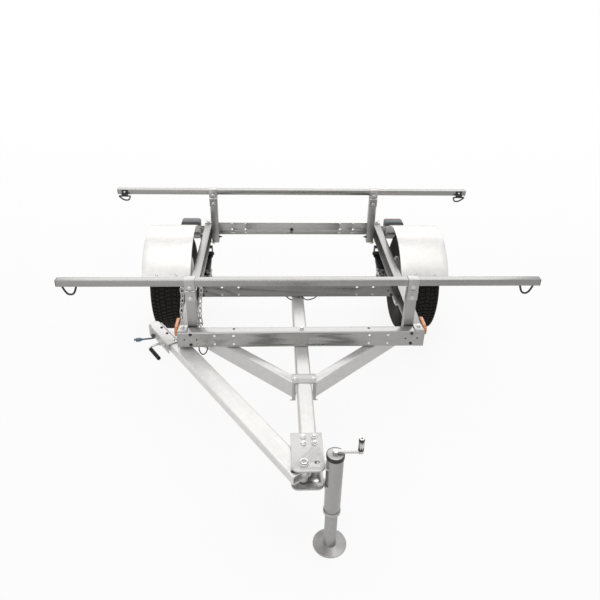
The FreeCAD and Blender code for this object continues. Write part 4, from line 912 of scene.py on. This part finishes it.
def makeJackTrim():
    for name, rings, finish in (("jackCap", jack["cap"], "black"), ("jackCollar", jack["collar"], "zinc")):
        mesh = meshOf(name, *turnedRings([(jack["radius"] + out, z) for out, z in rings], 40, closed=False), 35)
        mesh.transform(Matrix.Translation((jack["x"], jack["y"], 0)))
        mesh = baked(mesh, ("SOLIDIFY", {"thickness": jack["sheet"], "offset": 0.0}))
        newPiece(name, mesh, finish, "jack_tube", trim=True)
    knob = meshOf("crankKnob", *turnedRings(jack["knob"], 28), 40)
    knob.transform(Matrix.Translation((jack["x"] + jack["knobOut"], jack["y"], 0)))
    newPiece("crankKnob", knob, "black", "jack_crank", trim=True)


makeJackTrim()

# lamps and side markers: mounting studs and small screws
lamp = {"studY": 0.9019, "studs": ((0.562, 0.428), (0.562, 0.446)), "screwY": 0.9755,
        "screws": ((0.557, 0.4605), (0.641, 0.3875))}
marker = {"x": 0.5318, "y": (-0.217, -0.137), "z": 0.4475}
fasten("lampStuds", "nut", [standing(Vector((side * x, lamp["studY"], z)), front, 0.0052, 0.0085, 0.2)
                            for side in (-1, 1) for x, z in lamp["studs"]], "bright", "tail_lamps")
fasten("lampScrews", "dome", [standing(Vector((side * x, lamp["screwY"], z)), back, 0.0030, 0.0012)
                              for side in (-1, 1) for x, z in lamp["screws"]], "darkBolt", "tail_lamps")
fasten("markerScrews", "dome", [
    standing(Vector((side * marker["x"], y, marker["z"])), rightWay * side, 0.0034, 0.0014)
    for side in (-1, 1) for y in marker["y"]], "darkBolt", "side_markers")

# wiring: short loops that leave the channels and go back in, and the wires at each lamp
wiring = {
    "frontArc": (0.0026, [(-0.440, 0.020, 0.392), (-0.444, 0.020, 0.350), (-0.442, 0.020, 0.312),
                          (-0.426, 0.020, 0.298), (-0.410, 0.020, 0.316), (-0.405, 0.021, 0.346),
                          (-0.404, 0.021, 0.392)]),
    "middleArc": (0.0028, [(-0.062, 0.376, 0.394), (-0.050, 0.373, 0.384), (-0.038, 0.372, 0.3745),
                           (-0.022, 0.372, 0.3700), (0.010, 0.374, 0.3880)]),
    "middleArcRight": (0.0026, [(0.020, 0.376, 0.390), (0.032, 0.373, 0.3745), (0.048, 0.372, 0.3705),
                                (0.068, 0.372, 0.3755), (0.086, 0.373, 0.383), (0.096, 0.376, 0.394)]),
}
lampWire = {"radius": 0.0016, "stud": (0.4381, 1.090, 0.388),
            "strands": (("Black", "wire", 0.004, 0.004), ("White", "wireWhite", 0.0, 0.0),
                        ("Yellow", "wireYellow", 0.002, -0.005))}


def lampWires(side):  # over the bracket from the lamp, in behind the post, and down to the rail's foot
    for name, finish, drop, out in lampWire["strands"]:
        outer = [(0.572 + out, 1.1010, 0.428 - drop), (0.570 + out, 1.094, 0.438 - drop),
                 (0.556, 1.090, 0.4500 - drop), (0.538, 1.090, 0.4495 - drop), (0.528, 1.092, 0.436 - drop)]
        inner = [(0.4790, 1.094 + out, 0.432), (0.472 + out, 1.092, 0.418), (0.468 + out, 1.088, 0.392),
                 (0.462 + out, 1.082, 0.366), (0.4700 + out, 1.070, 0.352 + out), (0.482, 1.060, 0.366),
                 (0.4860, 1.052, 0.388)]
        runs = [barMesh("lampWire", [atBar(side * x, y, z) for x, y, z in run], lampWire["radius"], sides=3)
                for run in (outer, inner)]
        newPiece("lampWire%s%s" % (name, "Right" if side > 0 else "Left"), merged("lampWire", runs), finish,
                 "loop_tabs", trim=True)


for name, (radius, points) in wiring.items():
    newPiece(name, barMesh(name, [atBar(*point) for point in points], radius), "wire", "loop_tabs", trim=True)
for side in (-1, 1):
    lampWires(side)
fasten("postStuds", "nut", [standing(place, rightWay * -side, 0.0062, 0.018, 0.2)
                            for side, place in zip((-1, 1), pairs(*lampWire["stud"]))], "darkBolt", "posts")
print("fittings made")

# studio: a pale floor that fades into a white surround, and three softboxes; in mirrors the floor is painted
# darker towards the right
studio = {"floor": 14.0, "tones": ((0.80, 0.80, 0.80), (0.84, 0.84, 0.84)), "white": (1.0, 1.0, 1.0),
          "world": 0.55, "seen": 0.88, "mirror": 0.85, "fadeFrom": 2.0, "fadeTo": 6.0,
          "cardFrom": -0.1, "cardTo": 0.9, "cardShade": 0.22}
softboxes = {"softboxRear": ((0.1, 5.2, 3.3), (0, 0.3, 0.4), 9.0, 4.4, 165.0),
             "softboxTop": ((0.0, -0.4, 4.6), (0, 0.4, 0.3), 4.0, 4.0, 70.0),
             "softboxFront": ((-2.5, -4.5, 2.5), (0, 0.2, 0.4), 3.0, 3.0, 40.0)}


def softbox(name, place, target, wide, high, power):
    light = bpy.data.lights.new(name, "AREA")
    light.shape, light.size, light.size_y, light.energy = "RECTANGLE", wide, high, power
    aim = Vector(target) - Vector(place)
    turn = aim.to_track_quat("-Z", "Y").to_matrix().to_4x4()
    placed(name, light).matrix_world = Matrix.Translation(place) @ turn


def makeFloor():  # seen by the camera it fades to white; in mirrors it is white, and painted darker to the right as a shade in the reflections
    s = studio["floor"]
    floor = placed("floor", meshOf("floor", [(-s, -s, 0), (s, -s, 0), (s, s, 0), (-s, s, 0)], [(0, 1, 2, 3)]))
    f = Finish("floorWhite")
    path = f.add("ShaderNodeLightPath", {}, "Is Camera Ray")
    far = f.add("ShaderNodeVectorMath", {0: f.coord}, "Value", operation="LENGTH")
    seen = f.ranged(far, studio["fadeFrom"], studio["fadeTo"], studio["seen"], 1.0)
    matt = f.add("ShaderNodeBsdfDiffuse", {"Color": f.mix(*studio["tones"], f.noise(3.0))})
    glow = f.add("ShaderNodeEmission", {"Color": studio["white"], "Strength": 1.0})
    # painted shade: the floor seen in mirrors darkens with x, so parts on the right reflect darker
    paintedShadeInMirrors = f.ranged(f.along("X"), studio["cardFrom"], studio["cardTo"], studio["mirror"], studio["cardShade"])
    mask = seen * (path + paintedShadeInMirrors * path["Is Glossy Ray"])
    floor.data.materials.append(f.close(f.add("ShaderNodeMixShader", {0: mask, 1: matt, 2: glow})))


def makeSurround():
    scene.world = bpy.data.worlds.new("studio")
    sky = Finish("studio", scene.world)
    path = sky.add("ShaderNodeLightPath", {}, "Is Camera Ray")
    mask = path + path["Is Transmission Ray"] + studio["mirror"] * path["Is Glossy Ray"]
    lit, seen = (sky.add("ShaderNodeBackground", {"Color": studio["white"], "Strength": strength})
                 for strength in (studio["world"], 1.0))
    sky.close(sky.add("ShaderNodeMixShader", {0: mask, 1: lit, 2: seen}), "ShaderNodeOutputWorld")


makeFloor()
makeSurround()
for name, settings in softboxes.items():
    softbox(name, *settings)
